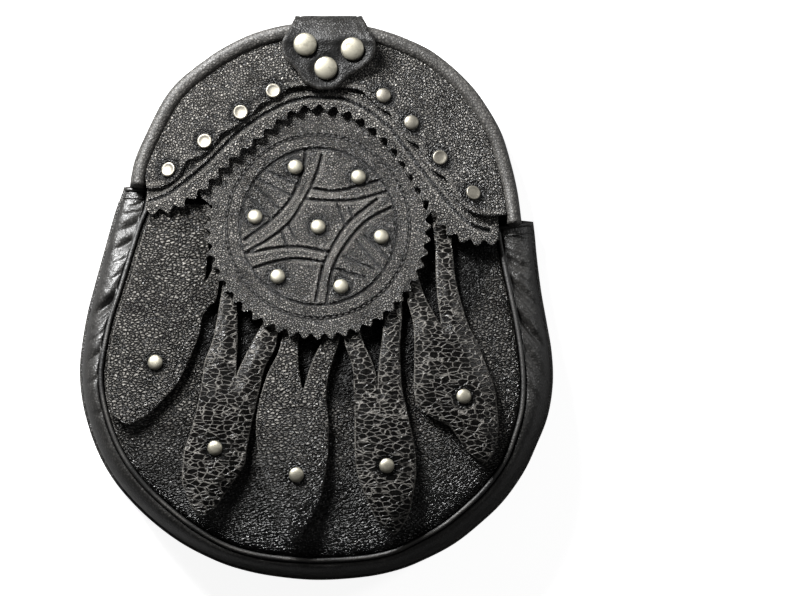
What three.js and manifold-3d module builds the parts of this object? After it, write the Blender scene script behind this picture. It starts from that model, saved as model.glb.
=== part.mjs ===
// A leather sporran pouch, lying on its back with the flap closed.
// Millimetres: X across, Y up the pouch, Z from its back to its front.
import * as THREE from 'three';
import { mergeVertices } from 'three/addons/utils/BufferGeometryUtils.js';
import Module from 'manifold-3d';

const wasm = await Module();
wasm.setup();

// Whole pouch
const pouch_width = 170.8;
const pouch_height = 204;
const seam_depth = 26.5; // front seam above the back, where the pouch is deepest
const front_crown = 9; // how far the front stands proud of its seam
const rest_lift = 2.4; // height of the top edge over the floor, above the strap loop

// Leather and the gap that stacked pieces keep
const clearance = 0.3;
const back_wall = 2;
const panel_wall = 2;
const gusset_wall = 1.8;
const tassel_wall = 1.8;
const medallion_wall = 2;
const trim_wall = 1.5;
const cantle_wall = 1.8;
const tab_wall = 1.9;

// Gusset, piping and edge roll
const gusset_reach = 10; // how far the gusset stands out from the front seam
const back_edge = 1.1; // how far the back shows past the gusset
const gusset_fold = 2.4;
const piping_width = 1.7;
const roll_width = 5.6;
const roll_proud = 1.2; // how far the roll stands over the cantle

// Pinked edges
const tooth_pitch = 4.8;
const tooth_depth = 2.2;

// Flap
const trim_band = 15;
const medallion_radius = 39.7;
const lobe_reach = 5.2; // wavy edge of the cantle beyond the line of its rivets
const wave_height = 2.2;

// Hanger tab and strap loop
const tab_width = 24.6;
const tab_lobe = 8.2;
const tab_flat = 14; // straight end of the tab before it bends round the roll
const tab_lap = 1.5; // lap of the straight end over the lying end
const strip_start = 2; // from the crest of the roll down to where the loop's strip begins
const loop_length = 76; // how far the loop runs down the back
const loop_room = 4.7; // height of the strap's way between the loop and the back
const loop_hollow = 40; // radius of the hollow that the back has over the loop
const loop_drop = 49; // from the top edge down to the middle of the strap's way
const seat_length = 9; // end of the loop that is sewn to the back

// Rivets
const tab_rivet_radius = 4.2;
const rivet_radius = 2.7;
const rivet_rise = 1.3;
const shank_radius = 1.2;

// Fineness of the faceted leather
const blanket_step = 11;
const seam_steps = 56;
const piping_steps = 46;
const arch_steps = 34;
const trim_steps = 16;
const gusset_step = 11;
const gusset_fold_step = 4.2;
const rivet_sides = 8;
const lobe_sides = 16;

const half_width = pouch_width / 2;
const tassel_top = clearance + tassel_wall;
const medallion_under = tassel_top + clearance;
const medallion_lift = medallion_wall + clearance;
const cantle_over_trim = trim_wall + clearance;

// Side view: height of the front seam and of the crown at shares of the pouch height
const side_sections = [
  { up: 0.00, seam: 0.96, crown: 0.00 },
  { up: 0.04, seam: 0.98, crown: 0.00 },
  { up: 0.10, seam: 1.00, crown: 0.50 },
  { up: 0.18, seam: 1.00, crown: 0.82 },
  { up: 0.30, seam: 0.93, crown: 1.00 },
  { up: 0.40, seam: 0.82, crown: 1.00 },
  { up: 0.50, seam: 0.66, crown: 1.00 },
  { up: 0.56, seam: 0.53, crown: 0.99 },
  { up: 0.63, seam: 0.34, crown: 0.97 },
  { up: 0.70, seam: 0.17, crown: 0.92 },
  { up: 0.80, seam: 0.06, crown: 0.72 },
  { up: 0.90, seam: -0.02, crown: 0.36 },
  { up: 0.96, seam: -0.05, crown: 0.12 },
  { up: 1.00, seam: -0.06, crown: 0.00 },
];

// Front seam from the left hem round the bottom to the right hem, as shares of half the
// width and of the height, and the gusset's reach outside it
const seam_sections = [
  { x: -0.712, up: 0.694, reach: 0.87 },
  { x: -0.717, up: 0.658, reach: 1.05 },
  { x: -0.746, up: 0.627, reach: 1.00 },
  { x: -0.789, up: 0.568, reach: 0.97 },
  { x: -0.831, up: 0.510, reach: 0.94 },
  { x: -0.869, up: 0.460, reach: 0.88 },
  { x: -0.899, up: 0.398, reach: 0.83 },
  { x: -0.907, up: 0.354, reach: 0.79 },
  { x: -0.890, up: 0.306, reach: 0.79 },
  { x: -0.848, up: 0.251, reach: 0.79 },
  { x: -0.789, up: 0.205, reach: 0.80 },
  { x: -0.712, up: 0.165, reach: 0.80 },
  { x: -0.619, up: 0.129, reach: 0.81 },
  { x: -0.518, up: 0.096, reach: 0.77 },
  { x: -0.408, up: 0.069, reach: 0.71 },
  { x: -0.311, up: 0.053, reach: 0.69 },
  { x: -0.180, up: 0.042, reach: 0.71 },
  { x: 0.000, up: 0.037, reach: 0.75 },
  { x: 0.192, up: 0.041, reach: 0.73 },
  { x: 0.323, up: 0.052, reach: 0.72 },
  { x: 0.421, up: 0.071, reach: 0.77 },
  { x: 0.531, up: 0.097, reach: 0.80 },
  { x: 0.632, up: 0.131, reach: 0.81 },
  { x: 0.717, up: 0.166, reach: 0.82 },
  { x: 0.793, up: 0.211, reach: 0.82 },
  { x: 0.835, up: 0.255, reach: 0.88 },
  { x: 0.865, up: 0.301, reach: 0.99 },
  { x: 0.873, up: 0.350, reach: 1.08 },
  { x: 0.865, up: 0.398, reach: 1.11 },
  { x: 0.848, up: 0.446, reach: 1.09 },
  { x: 0.823, up: 0.499, reach: 1.11 },
  { x: 0.793, up: 0.559, reach: 1.21 },
  { x: 0.776, up: 0.596, reach: 1.28 },
  { x: 0.767, up: 0.627, reach: 1.28 },
];

// Section through the gusset: out from the seam and down to the back
const gusset_profile = [
  { out: 0.00, down: 0.00 },
  { out: 0.34, down: 0.04 },
  { out: 0.66, down: 0.16 },
  { out: 0.88, down: 0.36 },
  { out: 0.99, down: 0.66 },
  { out: 0.98, down: 1.00 },
];

// Folds in the upper sides of the gusset, from the seam out to the back's edge
const gusset_folds = [
  { side: -1, seam_up: 0.632, edge_up: 0.600, depth: 0.5, width: 0.016 },
  { side: -1, seam_up: 0.603, edge_up: 0.566, depth: 0.7, width: 0.016 },
  { side: -1, seam_up: 0.502, edge_up: 0.452, depth: 1.0, width: 0.017 },
  { side: -1, seam_up: 0.405, edge_up: 0.375, depth: 0.4, width: 0.015 },
  { side: 1, seam_up: 0.572, edge_up: 0.532, depth: 0.6, width: 0.015 },
  { side: 1, seam_up: 0.535, edge_up: 0.470, depth: 0.9, width: 0.016 },
  { side: 1, seam_up: 0.478, edge_up: 0.395, depth: 1.0, width: 0.016 },
  { side: 1, seam_up: 0.415, edge_up: 0.340, depth: 0.5, width: 0.015 },
];

// Outer edge of the upper roll, left hem to right hem
const arch_sections = [
  { x: -0.786, up: 0.703 },
  { x: -0.767, up: 0.743 },
  { x: -0.712, up: 0.796 },
  { x: -0.645, up: 0.850 },
  { x: -0.577, up: 0.885 },
  { x: -0.471, up: 0.920 },
  { x: -0.387, up: 0.943 },
  { x: -0.260, up: 0.968 },
  { x: -0.100, up: 0.984 },
  { x: 0.070, up: 0.987 },
  { x: 0.260, up: 0.975 },
  { x: 0.438, up: 0.947 },
  { x: 0.539, up: 0.920 },
  { x: 0.632, up: 0.885 },
  { x: 0.700, up: 0.850 },
  { x: 0.776, up: 0.796 },
  { x: 0.818, up: 0.743 },
  { x: 0.848, up: 0.690 },
  { x: 0.864, up: 0.642 },
];

// Mouth of the pocket, the hidden upper edge of the front
const mouth_sections = [
  { x: 0.745, up: 0.650 },
  { x: 0.690, up: 0.668 },
  { x: 0.380, up: 0.670 },
  { x: 0.000, up: 0.666 },
  { x: -0.340, up: 0.672 },
  { x: -0.660, up: 0.684 },
];

// Pinked lower edge of the flap's trim, left to right
const trim_sections = [
  { x: -0.721, up: 0.650 },
  { x: -0.632, up: 0.653 },
  { x: -0.564, up: 0.664 },
  { x: -0.459, up: 0.697 },
  { x: -0.362, up: 0.740 },
  { x: -0.264, up: 0.773 },
  { x: -0.171, up: 0.806 },
  { x: -0.070, up: 0.832 },
  { x: 0.023, up: 0.835 },
  { x: 0.129, up: 0.825 },
  { x: 0.226, up: 0.800 },
  { x: 0.319, up: 0.763 },
  { x: 0.391, up: 0.715 },
  { x: 0.459, up: 0.669 },
  { x: 0.531, up: 0.625 },
  { x: 0.594, up: 0.605 },
  { x: 0.666, up: 0.596 },
  { x: 0.772, up: 0.597 },
];

// Rivets along the cantle, and the wavy edge's height between its two rows
const cantle_rivets = [
  { x: -0.624, up: 0.726 },
  { x: -0.471, up: 0.776 },
  { x: -0.319, up: 0.827 },
  { x: -0.182, up: 0.865 },
  { x: 0.283, up: 0.857 },
  { x: 0.401, up: 0.809 },
  { x: 0.522, up: 0.747 },
  { x: 0.662, up: 0.685 },
];
const cantle_middle = { x: 0.019, up: 0.868 };

const medallion_place = { x: 0.008, up: 0.625 };
const stud_ring = 0.58; // radius of the ring of studs, as a share of the medallion's
const stud_turn = -9;
const ring_studs = 6;

const tab_rivets = [
  { x: -0.047, up: 0.947 },
  { x: 0.152, up: 0.939 },
  { x: 0.040, up: 0.905 },
];

// Tassels: each lobe and its strands as rows of left and right edges up the pouch
const tassels = [
  {
    rivet: { x: -0.677, up: 0.386 },
    lobe: [
      { up: 0.664, left: -0.691, right: -0.446 },
      { up: 0.602, left: -0.738, right: -0.450 },
      { up: 0.540, left: -0.778, right: -0.467 },
      { up: 0.478, left: -0.829, right: -0.480 },
      { up: 0.434, left: -0.858, right: -0.493 },
      { up: 0.382, left: -0.876, right: -0.543 },
      { up: 0.343, left: -0.880, right: -0.594 },
      { up: 0.312, left: -0.868, right: -0.662 },
      { up: 0.292, left: -0.850, right: -0.712 },
      { up: 0.278, left: -0.822, right: -0.780 },
    ],
    strands: [[
      { up: 0.552, left: -0.434, right: -0.408 },
      { up: 0.513, left: -0.488, right: -0.412 },
      { up: 0.497, left: -0.535, right: -0.416 },
      { up: 0.473, left: -0.550, right: -0.497 },
    ]],
  },
  {
    rivet: { x: -0.425, up: 0.235 },
    lobe: [
      { up: 0.363, left: -0.476, right: -0.224 },
      { up: 0.312, left: -0.497, right: -0.252 },
      { up: 0.265, left: -0.526, right: -0.277 },
      { up: 0.235, left: -0.552, right: -0.290 },
      { up: 0.205, left: -0.560, right: -0.302 },
      { up: 0.175, left: -0.564, right: -0.349 },
      { up: 0.152, left: -0.543, right: -0.387 },
      { up: 0.131, left: -0.526, right: -0.421 },
      { up: 0.115, left: -0.493, right: -0.467 },
    ],
    strands: [
      [
        { up: 0.545, left: -0.387, right: -0.319 },
        { up: 0.503, left: -0.400, right: -0.332 },
        { up: 0.428, left: -0.433, right: -0.330 },
        { up: 0.389, left: -0.467, right: -0.334 },
        { up: 0.358, left: -0.478, right: -0.334 },
      ],
      [
        { up: 0.469, left: -0.213, right: -0.150 },
        { up: 0.451, left: -0.230, right: -0.158 },
        { up: 0.412, left: -0.281, right: -0.171 },
        { up: 0.379, left: -0.319, right: -0.214 },
        { up: 0.358, left: -0.336, right: -0.226 },
      ],
    ],
  },
  {
    rivet: { x: -0.082, up: 0.188 },
    lobe: [
      { up: 0.326, left: -0.235, right: 0.040 },
      { up: 0.280, left: -0.252, right: 0.053 },
      { up: 0.239, left: -0.247, right: 0.053 },
      { up: 0.198, left: -0.230, right: 0.044 },
      { up: 0.158, left: -0.203, right: 0.027 },
      { up: 0.131, left: -0.188, right: 0.006 },
      { up: 0.099, left: -0.169, right: -0.040 },
      { up: 0.074, left: -0.142, right: -0.074 },
      { up: 0.067, left: -0.112, right: -0.091 },
    ],
    strands: [
      [
        { up: 0.469, left: -0.125, right: -0.060 },
        { up: 0.451, left: -0.135, right: -0.066 },
        { up: 0.407, left: -0.155, right: -0.076 },
        { up: 0.368, left: -0.201, right: -0.070 },
        { up: 0.321, left: -0.236, right: -0.055 },
      ],
      [
        { up: 0.469, left: 0.055, right: 0.105 },
        { up: 0.430, left: 0.032, right: 0.100 },
        { up: 0.388, left: -0.015, right: 0.070 },
        { up: 0.354, left: -0.042, right: 0.049 },
        { up: 0.321, left: -0.057, right: 0.040 },
      ],
    ],
  },
  {
    rivet: { x: 0.298, up: 0.204 },
    lobe: [
      { up: 0.343, left: 0.159, right: 0.362 },
      { up: 0.292, left: 0.163, right: 0.387 },
      { up: 0.239, left: 0.163, right: 0.414 },
      { up: 0.196, left: 0.171, right: 0.421 },
      { up: 0.156, left: 0.201, right: 0.410 },
      { up: 0.119, left: 0.241, right: 0.391 },
      { up: 0.097, left: 0.273, right: 0.362 },
      { up: 0.085, left: 0.315, right: 0.340 },
    ],
    strands: [
      [
        { up: 0.469, left: 0.119, right: 0.165 },
        { up: 0.423, left: 0.120, right: 0.197 },
        { up: 0.377, left: 0.154, right: 0.245 },
        { up: 0.338, left: 0.159, right: 0.260 },
      ],
      [
        { up: 0.508, left: 0.302, right: 0.357 },
        { up: 0.469, left: 0.290, right: 0.362 },
        { up: 0.414, left: 0.273, right: 0.353 },
        { up: 0.366, left: 0.260, right: 0.357 },
        { up: 0.338, left: 0.258, right: 0.362 },
      ],
    ],
  },
  {
    rivet: { x: 0.622, up: 0.326 },
    lobe: [
      { up: 0.455, left: 0.408, right: 0.641 },
      { up: 0.416, left: 0.412, right: 0.683 },
      { up: 0.384, left: 0.414, right: 0.712 },
      { up: 0.340, left: 0.412, right: 0.751 },
      { up: 0.308, left: 0.429, right: 0.761 },
      { up: 0.290, left: 0.505, right: 0.765 },
      { up: 0.273, left: 0.573, right: 0.767 },
      { up: 0.253, left: 0.598, right: 0.763 },
      { up: 0.227, left: 0.643, right: 0.746 },
      { up: 0.212, left: 0.691, right: 0.721 },
    ],
    strands: [
      [
        { up: 0.545, left: 0.345, right: 0.425 },
        { up: 0.513, left: 0.376, right: 0.447 },
        { up: 0.490, left: 0.386, right: 0.471 },
        { up: 0.450, left: 0.409, right: 0.526 },
      ],
      [
        { up: 0.651, left: 0.484, right: 0.560 },
        { up: 0.591, left: 0.501, right: 0.573 },
        { up: 0.535, left: 0.505, right: 0.586 },
        { up: 0.490, left: 0.514, right: 0.611 },
        { up: 0.450, left: 0.526, right: 0.643 },
      ],
    ],
  },
];

// Plan helpers

function place({ x, up }) {
  return new THREE.Vector2(x * half_width, up * pouch_height);
}

function curveThrough(rows, count) {
  return new THREE.SplineCurve(rows.map(place)).getSpacedPoints(count);
}

function pathNormals(points) {
  return points.map((point, i) => {
    const before = points[Math.max(i - 1, 0)];
    const after = points[Math.min(i + 1, points.length - 1)];
    const along = after.clone().sub(before).normalize();
    return new THREE.Vector2(-along.y, along.x);
  });
}

function offsetPath(points, distance) {
  const normals = pathNormals(points);
  return points.map((point, i) => point.clone().addScaledVector(normals[i], distance));
}

function pinked(points) {
  const normals = pathNormals(points);
  return points.map((point, i) => {
    const side = i % 2 === 0 ? 0.5 : -0.5;
    return point.clone().addScaledVector(normals[i], side * tooth_depth);
  });
}

function chordAt(outline, y) {
  const crossings = [];
  outline.forEach((a, i) => {
    const b = outline[(i + 1) % outline.length];
    if ((a.y > y) !== (b.y > y)) {
      crossings.push(a.x + ((y - a.y) * (b.x - a.x)) / (b.y - a.y));
    }
  });
  return crossings.length ? [Math.min(...crossings), Math.max(...crossings)] : null;
}

function between(rows, name, up) {
  const last = rows.length - 1;
  const next = Math.min(Math.max(rows.findIndex((row) => row.up > up), 1), last);
  const upper = up >= rows[last].up ? last : next;
  const a = rows[upper - 1];
  const b = rows[upper];
  const share = THREE.MathUtils.clamp((up - a.up) / (b.up - a.up), 0, 1);
  return THREE.MathUtils.lerp(a[name], b[name], share);
}

// Outlines

const seam_path = curveThrough(seam_sections, seam_steps);
const arch_path = curveThrough(arch_sections, arch_steps);
const arch_inner = offsetPath(arch_path, -(roll_width + clearance));
const front_outline = [...seam_path, ...arch_inner.slice().reverse()];
const panel_edge = offsetPath(seam_path, piping_width / 2 + clearance);
const tab_centre = (place(tab_rivets[0]).x + place(tab_rivets[1]).x) / 2;
const loop_middle = arch_path[Math.round(arch_path.length / 2)].y - loop_drop;

// Heights. The blanket is the outer face of the front, and every layer follows it.

function restHeight(y) {
  return (rest_lift * y) / pouch_height;
}

function backUnder(x, y) {
  const away = Math.hypot((x - tab_centre) / (loop_hollow * 1.1), (y - loop_middle) / loop_hollow);
  const hollow = 1 - THREE.MathUtils.smoothstep(away, 0.5, 1);
  return restHeight(y) + (loop_room + tab_wall - restHeight(loop_middle)) * hollow;
}

function frontTop(x, y) {
  const up = y / pouch_height;
  const chord = chordAt(front_outline, y);
  let crown = 0;
  if (chord) {
    const across = Math.abs((2 * x - chord[0] - chord[1]) / (chord[1] - chord[0]));
    crown = Math.max(0, 1 - across ** 2.6);
  }
  const seam = seam_depth * between(side_sections, 'seam', up);
  return restHeight(y) + seam + front_crown * between(side_sections, 'crown', up) * crown;
}

function trimUnder(x, y) {
  const centre = place(medallion_place);
  const away = Math.hypot(x - centre.x, y - centre.y) - medallion_radius;
  const lift = 1 - THREE.MathUtils.smoothstep(away, blanket_step * 1.1, blanket_step * 2.6);
  return frontTop(x, y) + medallion_under + medallion_lift * lift;
}

function above(height, rise) {
  return (x, y) => height(x, y) + rise;
}

const panelUnder = above(frontTop, -panel_wall);
const tasselUnder = above(frontTop, clearance);
const medallionUnder = above(frontTop, medallion_under);
const cantleUnder = above(trimUnder, cantle_over_trim);
const tabUnder = above(cantleUnder, cantle_wall + clearance);

// Solids

function solid(geometry) {
  const plain = new THREE.BufferGeometry();
  plain.setAttribute('position', geometry.getAttribute('position').clone());
  if (geometry.index) plain.setIndex(geometry.index.clone());
  const merged = mergeVertices(plain, 1e-4);
  return new wasm.Manifold(new wasm.Mesh({
    numProp: 3,
    vertProperties: new Float32Array(merged.getAttribute('position').array),
    triVerts: new Uint32Array(merged.index.array),
  }));
}

function geometryOf(body) {
  const mesh = body.getMesh();
  const geometry = new THREE.BufferGeometry();
  geometry.setAttribute('position', new THREE.BufferAttribute(mesh.vertProperties, mesh.numProp));
  geometry.setIndex(new THREE.BufferAttribute(mesh.triVerts, 1));
  return geometry;
}

function slab(outline, low, high) {
  const geometry = new THREE.ExtrudeGeometry(new THREE.Shape(outline), {
    depth: high - low,
    bevelEnabled: false,
  });
  return solid(geometry.translate(0, 0, low));
}

function prism(outline) {
  return slab(outline, -pouch_height, pouch_height);
}

function gridLine(value) {
  return Math.floor(value / blanket_step);
}

// Height of the faceted blanket, which the rivets sit on
function facetAt(height, x, y) {
  const i = gridLine(x);
  const j = gridLine(y);
  const fx = x / blanket_step - i;
  const fy = y / blanket_step - j;
  const corner = (a, b) => height((i + a) * blanket_step, (j + b) * blanket_step);
  const middle = fx > fy ? corner(1, 0) : corner(0, 1);
  const slope = Math.abs(fx - fy);
  const low = Math.min(fx, fy);
  return corner(0, 0) * (1 - slope - low) + middle * slope + corner(1, 1) * low;
}

function facets(height) {
  return (x, y) => facetAt(height, x, y);
}

// A layer of leather of one thickness over a rectangle of the plan
function blanket(under, wall, box) {
  const first = { i: gridLine(box.min.x) - 1, j: gridLine(box.min.y) - 1 };
  const last = { i: gridLine(box.max.x) + 2, j: gridLine(box.max.y) + 2 };
  const columns = last.i - first.i + 1;
  const rows = last.j - first.j + 1;
  const positions = [];
  for (const rise of [0, wall]) {
    for (let j = first.j; j <= last.j; j += 1) {
      for (let i = first.i; i <= last.i; i += 1) {
        const x = i * blanket_step;
        const y = j * blanket_step;
        positions.push(x, y, under(x, y) + rise);
      }
    }
  }
  const upper = columns * rows;
  const at = (i, j) => j * columns + i;
  const triangles = [];
  for (let j = 0; j < rows - 1; j += 1) {
    for (let i = 0; i < columns - 1; i += 1) {
      const [a, b, c, d] = [at(i, j), at(i + 1, j), at(i + 1, j + 1), at(i, j + 1)];
      triangles.push(a, c, b, a, d, c);
      triangles.push(a + upper, b + upper, c + upper, a + upper, c + upper, d + upper);
    }
  }
  const rim = [];
  for (let i = 0; i < columns - 1; i += 1) rim.push(at(i, 0));
  for (let j = 0; j < rows - 1; j += 1) rim.push(at(columns - 1, j));
  for (let i = columns - 1; i > 0; i -= 1) rim.push(at(i, rows - 1));
  for (let j = rows - 1; j > 0; j -= 1) rim.push(at(0, j));
  rim.forEach((a, k) => {
    const b = rim[(k + 1) % rim.length];
    triangles.push(a, b, b + upper, a, b + upper, a + upper);
  });
  const geometry = new THREE.BufferGeometry();
  geometry.setAttribute('position', new THREE.Float32BufferAttribute(positions, 3));
  geometry.setIndex(triangles);
  return solid(geometry);
}

function sheet(outline, under, wall) {
  const box = new THREE.Box2().setFromPoints(outline);
  return prism(outline).intersect(blanket(under, wall, box));
}

// A closed body through rings of points, with flat ends
function loft(rings) {
  const count = rings[0].length;
  const positions = rings.flat().flatMap((point) => [point.x, point.y, point.z]);
  const triangles = [];
  for (let r = 0; r < rings.length - 1; r += 1) {
    for (let k = 0; k < count; k += 1) {
      const next = (k + 1) % count;
      const [a, b, c, d] = [r * count + k, r * count + next, (r + 1) * count + next,
        (r + 1) * count + k];
      triangles.push(a, b, c, a, c, d);
    }
  }
  const end = (rings.length - 1) * count;
  for (let k = 0; k < count / 2 - 1; k += 1) {
    const [a, b, c, d] = [k, k + 1, count - 2 - k, count - 1 - k];
    triangles.push(a, c, b, a, d, c);
    triangles.push(end + a, end + b, end + c, end + a, end + c, end + d);
  }
  const geometry = new THREE.BufferGeometry();
  geometry.setAttribute('position', new THREE.Float32BufferAttribute(positions, 3));
  geometry.setIndex(triangles);
  return geometry;
}

// Cord of elliptical section along a plan path
function rolled(points, half_across, low, high, sides) {
  const normals = pathNormals(points);
  return loft(points.map((point, i) => {
    const middle = (high(point) + low(point)) / 2;
    const half_height = (high(point) - low(point)) / 2;
    return Array.from({ length: sides }, (_, k) => {
      const angle = (2 * Math.PI * (k + 0.5)) / sides;
      const across = half_across * Math.cos(angle);
      return new THREE.Vector3(
        point.x + normals[i].x * across,
        point.y + normals[i].y * across,
        middle + half_height * Math.sin(angle),
      );
    });
  }));
}

// Gusset

function foldDepth(side, up, out) {
  return gusset_folds.reduce((sum, fold) => {
    if (fold.side !== side) return sum;
    const centre = THREE.MathUtils.lerp(fold.seam_up, fold.edge_up, out);
    const away = (up - centre) / fold.width;
    return sum + fold.depth * Math.exp(-away * away) * Math.sin(Math.PI * out ** 0.6);
  }, 0) * gusset_fold;
}

function gussetStations() {
  const folds_up = Math.min(...gusset_folds.map((fold) => fold.edge_up)) - 0.03;
  const curve = new THREE.SplineCurve(seam_sections.map(place));
  const length = curve.getLength();
  const stations = [];
  let s = 0;
  while (s < length) {
    const t = s / length;
    stations.push(t);
    s += curve.getPointAt(t).y > folds_up * pouch_height ? gusset_fold_step : gusset_step;
  }
  stations.push(1);
  return stations.map((t) => {
    const point = curve.getPointAt(t);
    const along = curve.getTangentAt(t);
    const row = curve.getUtoTmapping(t) * (seam_sections.length - 1);
    const lower = Math.min(Math.floor(row), seam_sections.length - 2);
    const reach = THREE.MathUtils.lerp(
      seam_sections[lower].reach,
      seam_sections[lower + 1].reach,
      row - lower,
    ) * gusset_reach;
    return { point, outward: new THREE.Vector2(along.y, -along.x), reach };
  });
}

const stations = gussetStations();
const back_rim = stations.map(({ point, outward, reach }) => (
  point.clone().addScaledVector(outward, reach)));

function gussetRing({ point, outward, reach }) {
  const start = piping_width / 2 + clearance;
  const end = reach - back_edge;
  const top = frontTop(point.x, point.y);
  const floor = restHeight(point.y) + back_wall + clearance;
  const side = Math.sign(point.x);
  const section = gusset_profile.map(({ out, down }) => {
    const fold = foldDepth(side, point.y / pouch_height, out);
    return new THREE.Vector2(
      THREE.MathUtils.lerp(start, end, out) - fold * 0.5,
      THREE.MathUtils.lerp(top, floor, down) - fold * (1 - down),
    );
  });
  const normals = pathNormals(section);
  normals[0].set(0, 1);
  const inner = section.map((q, k) => q.clone().addScaledVector(normals[k], -gusset_wall));
  const ring = [...section, ...inner.reverse()];
  return ring.map((q) => new THREE.Vector3(
    point.x + outward.x * q.x,
    point.y + outward.y * q.x,
    Math.max(q.y, floor),
  ));
}

// Rivets

function rivetShape(radius, length) {
  const rise = rivet_rise * Math.sqrt(radius / rivet_radius);
  const profile = [
    [0, -length], [shank_radius, -length], [shank_radius, 0], [radius, 0],
    [radius * 0.8, rise * 0.7], [0, rise],
  ];
  const points = profile.map(([r, z]) => new THREE.Vector2(r, z));
  const geometry = new THREE.LatheGeometry(points, rivet_sides);
  return geometry.rotateX(Math.PI / 2);
}

// Where a rivet sits: on the facets under its head, square to the leather
function rivetSeat(spot, height, radius) {
  const span = radius * 2;
  const slope_x = (height(spot.x + span, spot.y) - height(spot.x - span, spot.y)) / (2 * span);
  const slope_y = (height(spot.x, spot.y + span) - height(spot.x, spot.y - span)) / (2 * span);
  const normal = new THREE.Vector3(-slope_x, -slope_y, 1).normalize();
  let z = height(spot.x, spot.y);
  for (let k = 0; k < 24; k += 1) {
    const angle = (Math.PI * k) / 12;
    for (const share of [0.5, 1]) {
      const dx = radius * share * Math.cos(angle);
      const dy = radius * share * Math.sin(angle);
      z = Math.max(z, height(spot.x + dx, spot.y + dy) - slope_x * dx - slope_y * dy);
    }
  }
  const seat = new THREE.Vector3(spot.x, spot.y, z).addScaledVector(normal, clearance);
  const turn = new THREE.Quaternion().setFromUnitVectors(new THREE.Vector3(0, 0, 1), normal);
  return { seat, turn };
}

const pouch = new THREE.Group();
const looks = {
  leather: { color: 0x24221f, roughness: 0.5, metalness: 0 },
  soft: { color: 0x2e2c29, roughness: 0.45, metalness: 0 },
  nickel: { color: 0xc9c4b4, roughness: 0.25, metalness: 1 },
};

function addPiece(name, geometry, look) {
  const piece = new THREE.Mesh(geometry, new THREE.MeshStandardMaterial(looks[look]));
  piece.name = name;
  pouch.add(piece);
  return piece;
}

// Puts a rivet through layers and gives the layers back with its hole
function addRivet(name, spot, radius, top, layers) {
  const { seat, turn } = rivetSeat(spot, top, radius);
  const through = layers.reduce((sum, layer) => sum + layer.wall + clearance, 0);
  const piece = addPiece(name, rivetShape(radius, through), 'nickel');
  piece.position.copy(seat);
  piece.quaternion.copy(turn);
  const drill = new THREE.CylinderGeometry(
    shank_radius + clearance,
    shank_radius + clearance,
    through * 4,
    rivet_sides,
  );
  drill.rotateX(Math.PI / 2).applyQuaternion(turn).translate(seat.x, seat.y, seat.z);
  const hole = solid(drill);
  for (const layer of layers) layer.body = layer.body.subtract(hole);
}

// Pocket

const back_outline = [...back_rim, ...arch_inner.slice().reverse()];
const back = { body: sheet(back_outline, backUnder, back_wall), wall: back_wall };
addPiece('back_panel', geometryOf(back.body), 'leather');
addPiece('gusset', loft(stations.map(gussetRing)), 'soft');

const piping_path = curveThrough(seam_sections, piping_steps);
addPiece('piping', rolled(
  piping_path,
  piping_width / 2,
  (point) => frontTop(point.x, point.y) - piping_width * 0.6,
  (point) => frontTop(point.x, point.y) + piping_width * 0.4,
  6,
), 'leather');

const front_panel_outline = [...panel_edge, ...mouth_sections.map(place)];
addPiece('front_panel', geometryOf(sheet(front_panel_outline, panelUnder, panel_wall)), 'leather');

// Tassels

function sides(rows) {
  const left = new THREE.SplineCurve(rows.map(({ left: x, up }) => place({ x, up })));
  const right = new THREE.SplineCurve(rows.map(({ right: x, up }) => place({ x, up })));
  return [...left.getPoints(rows.length), ...right.getPoints(rows.length).reverse()];
}

tassels.forEach(({ rivet, lobe, strands }, i) => {
  const body = [lobe, ...strands]
    .map((rows) => prism(sides(rows)))
    .reduce((sum, part) => sum.add(part));
  const box = new THREE.Box2().setFromPoints([lobe, ...strands].flatMap(sides));
  const leather = {
    body: body.intersect(blanket(tasselUnder, tassel_wall, box)),
    wall: tassel_wall,
  };
  const top = facets(above(tasselUnder, tassel_wall));
  addRivet(`tassel_rivet_${i + 1}`, place(rivet), rivet_radius, top, [leather]);
  addPiece(`tassel_${i + 1}`, geometryOf(leather.body), 'leather');
});

// Medallion with its ring of studs round one in the middle

const medallion_centre = place(medallion_place);
const teeth = Math.round((2 * Math.PI * medallion_radius) / tooth_pitch);
const medallion_outline = Array.from({ length: teeth * 2 }, (_, k) => {
  const angle = (Math.PI * k) / teeth;
  const radius = medallion_radius + (k % 2 === 0 ? 0.5 : -0.5) * tooth_depth;
  return new THREE.Vector2(
    medallion_centre.x + radius * Math.cos(angle),
    medallion_centre.y + radius * Math.sin(angle),
  );
});
const medallion = {
  body: sheet(medallion_outline, medallionUnder, medallion_wall),
  wall: medallion_wall,
};
const studs = [medallion_centre];
for (let k = 0; k < ring_studs; k += 1) {
  const angle = THREE.MathUtils.degToRad(stud_turn + (360 * k) / ring_studs);
  const radius = medallion_radius * stud_ring;
  studs.push(new THREE.Vector2(
    medallion_centre.x + radius * Math.cos(angle),
    medallion_centre.y + radius * Math.sin(angle),
  ));
}
studs.forEach((spot, k) => {
  const top = facets(above(medallionUnder, medallion_wall));
  addRivet(`medallion_stud_${k + 1}`, spot, rivet_radius, top, [medallion]);
});
addPiece('medallion', geometryOf(medallion.body), 'leather');

// Flap: pinked trim under a cantle with a wavy edge

const trim_line = new THREE.SplineCurve(trim_sections.map(place));
const trim_teeth = Math.round(trim_line.getLength() / tooth_pitch);
const trim_edge = trim_line.getSpacedPoints(trim_teeth * 2);
const trim_hidden = offsetPath(trim_line.getSpacedPoints(trim_steps), trim_band).reverse();
const trim_outline = [...pinked(trim_edge), ...trim_hidden];
const trim = {
  body: sheet(trim_outline, trimUnder, trim_wall).intersect(prism(front_outline)),
  wall: trim_wall,
};

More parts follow.
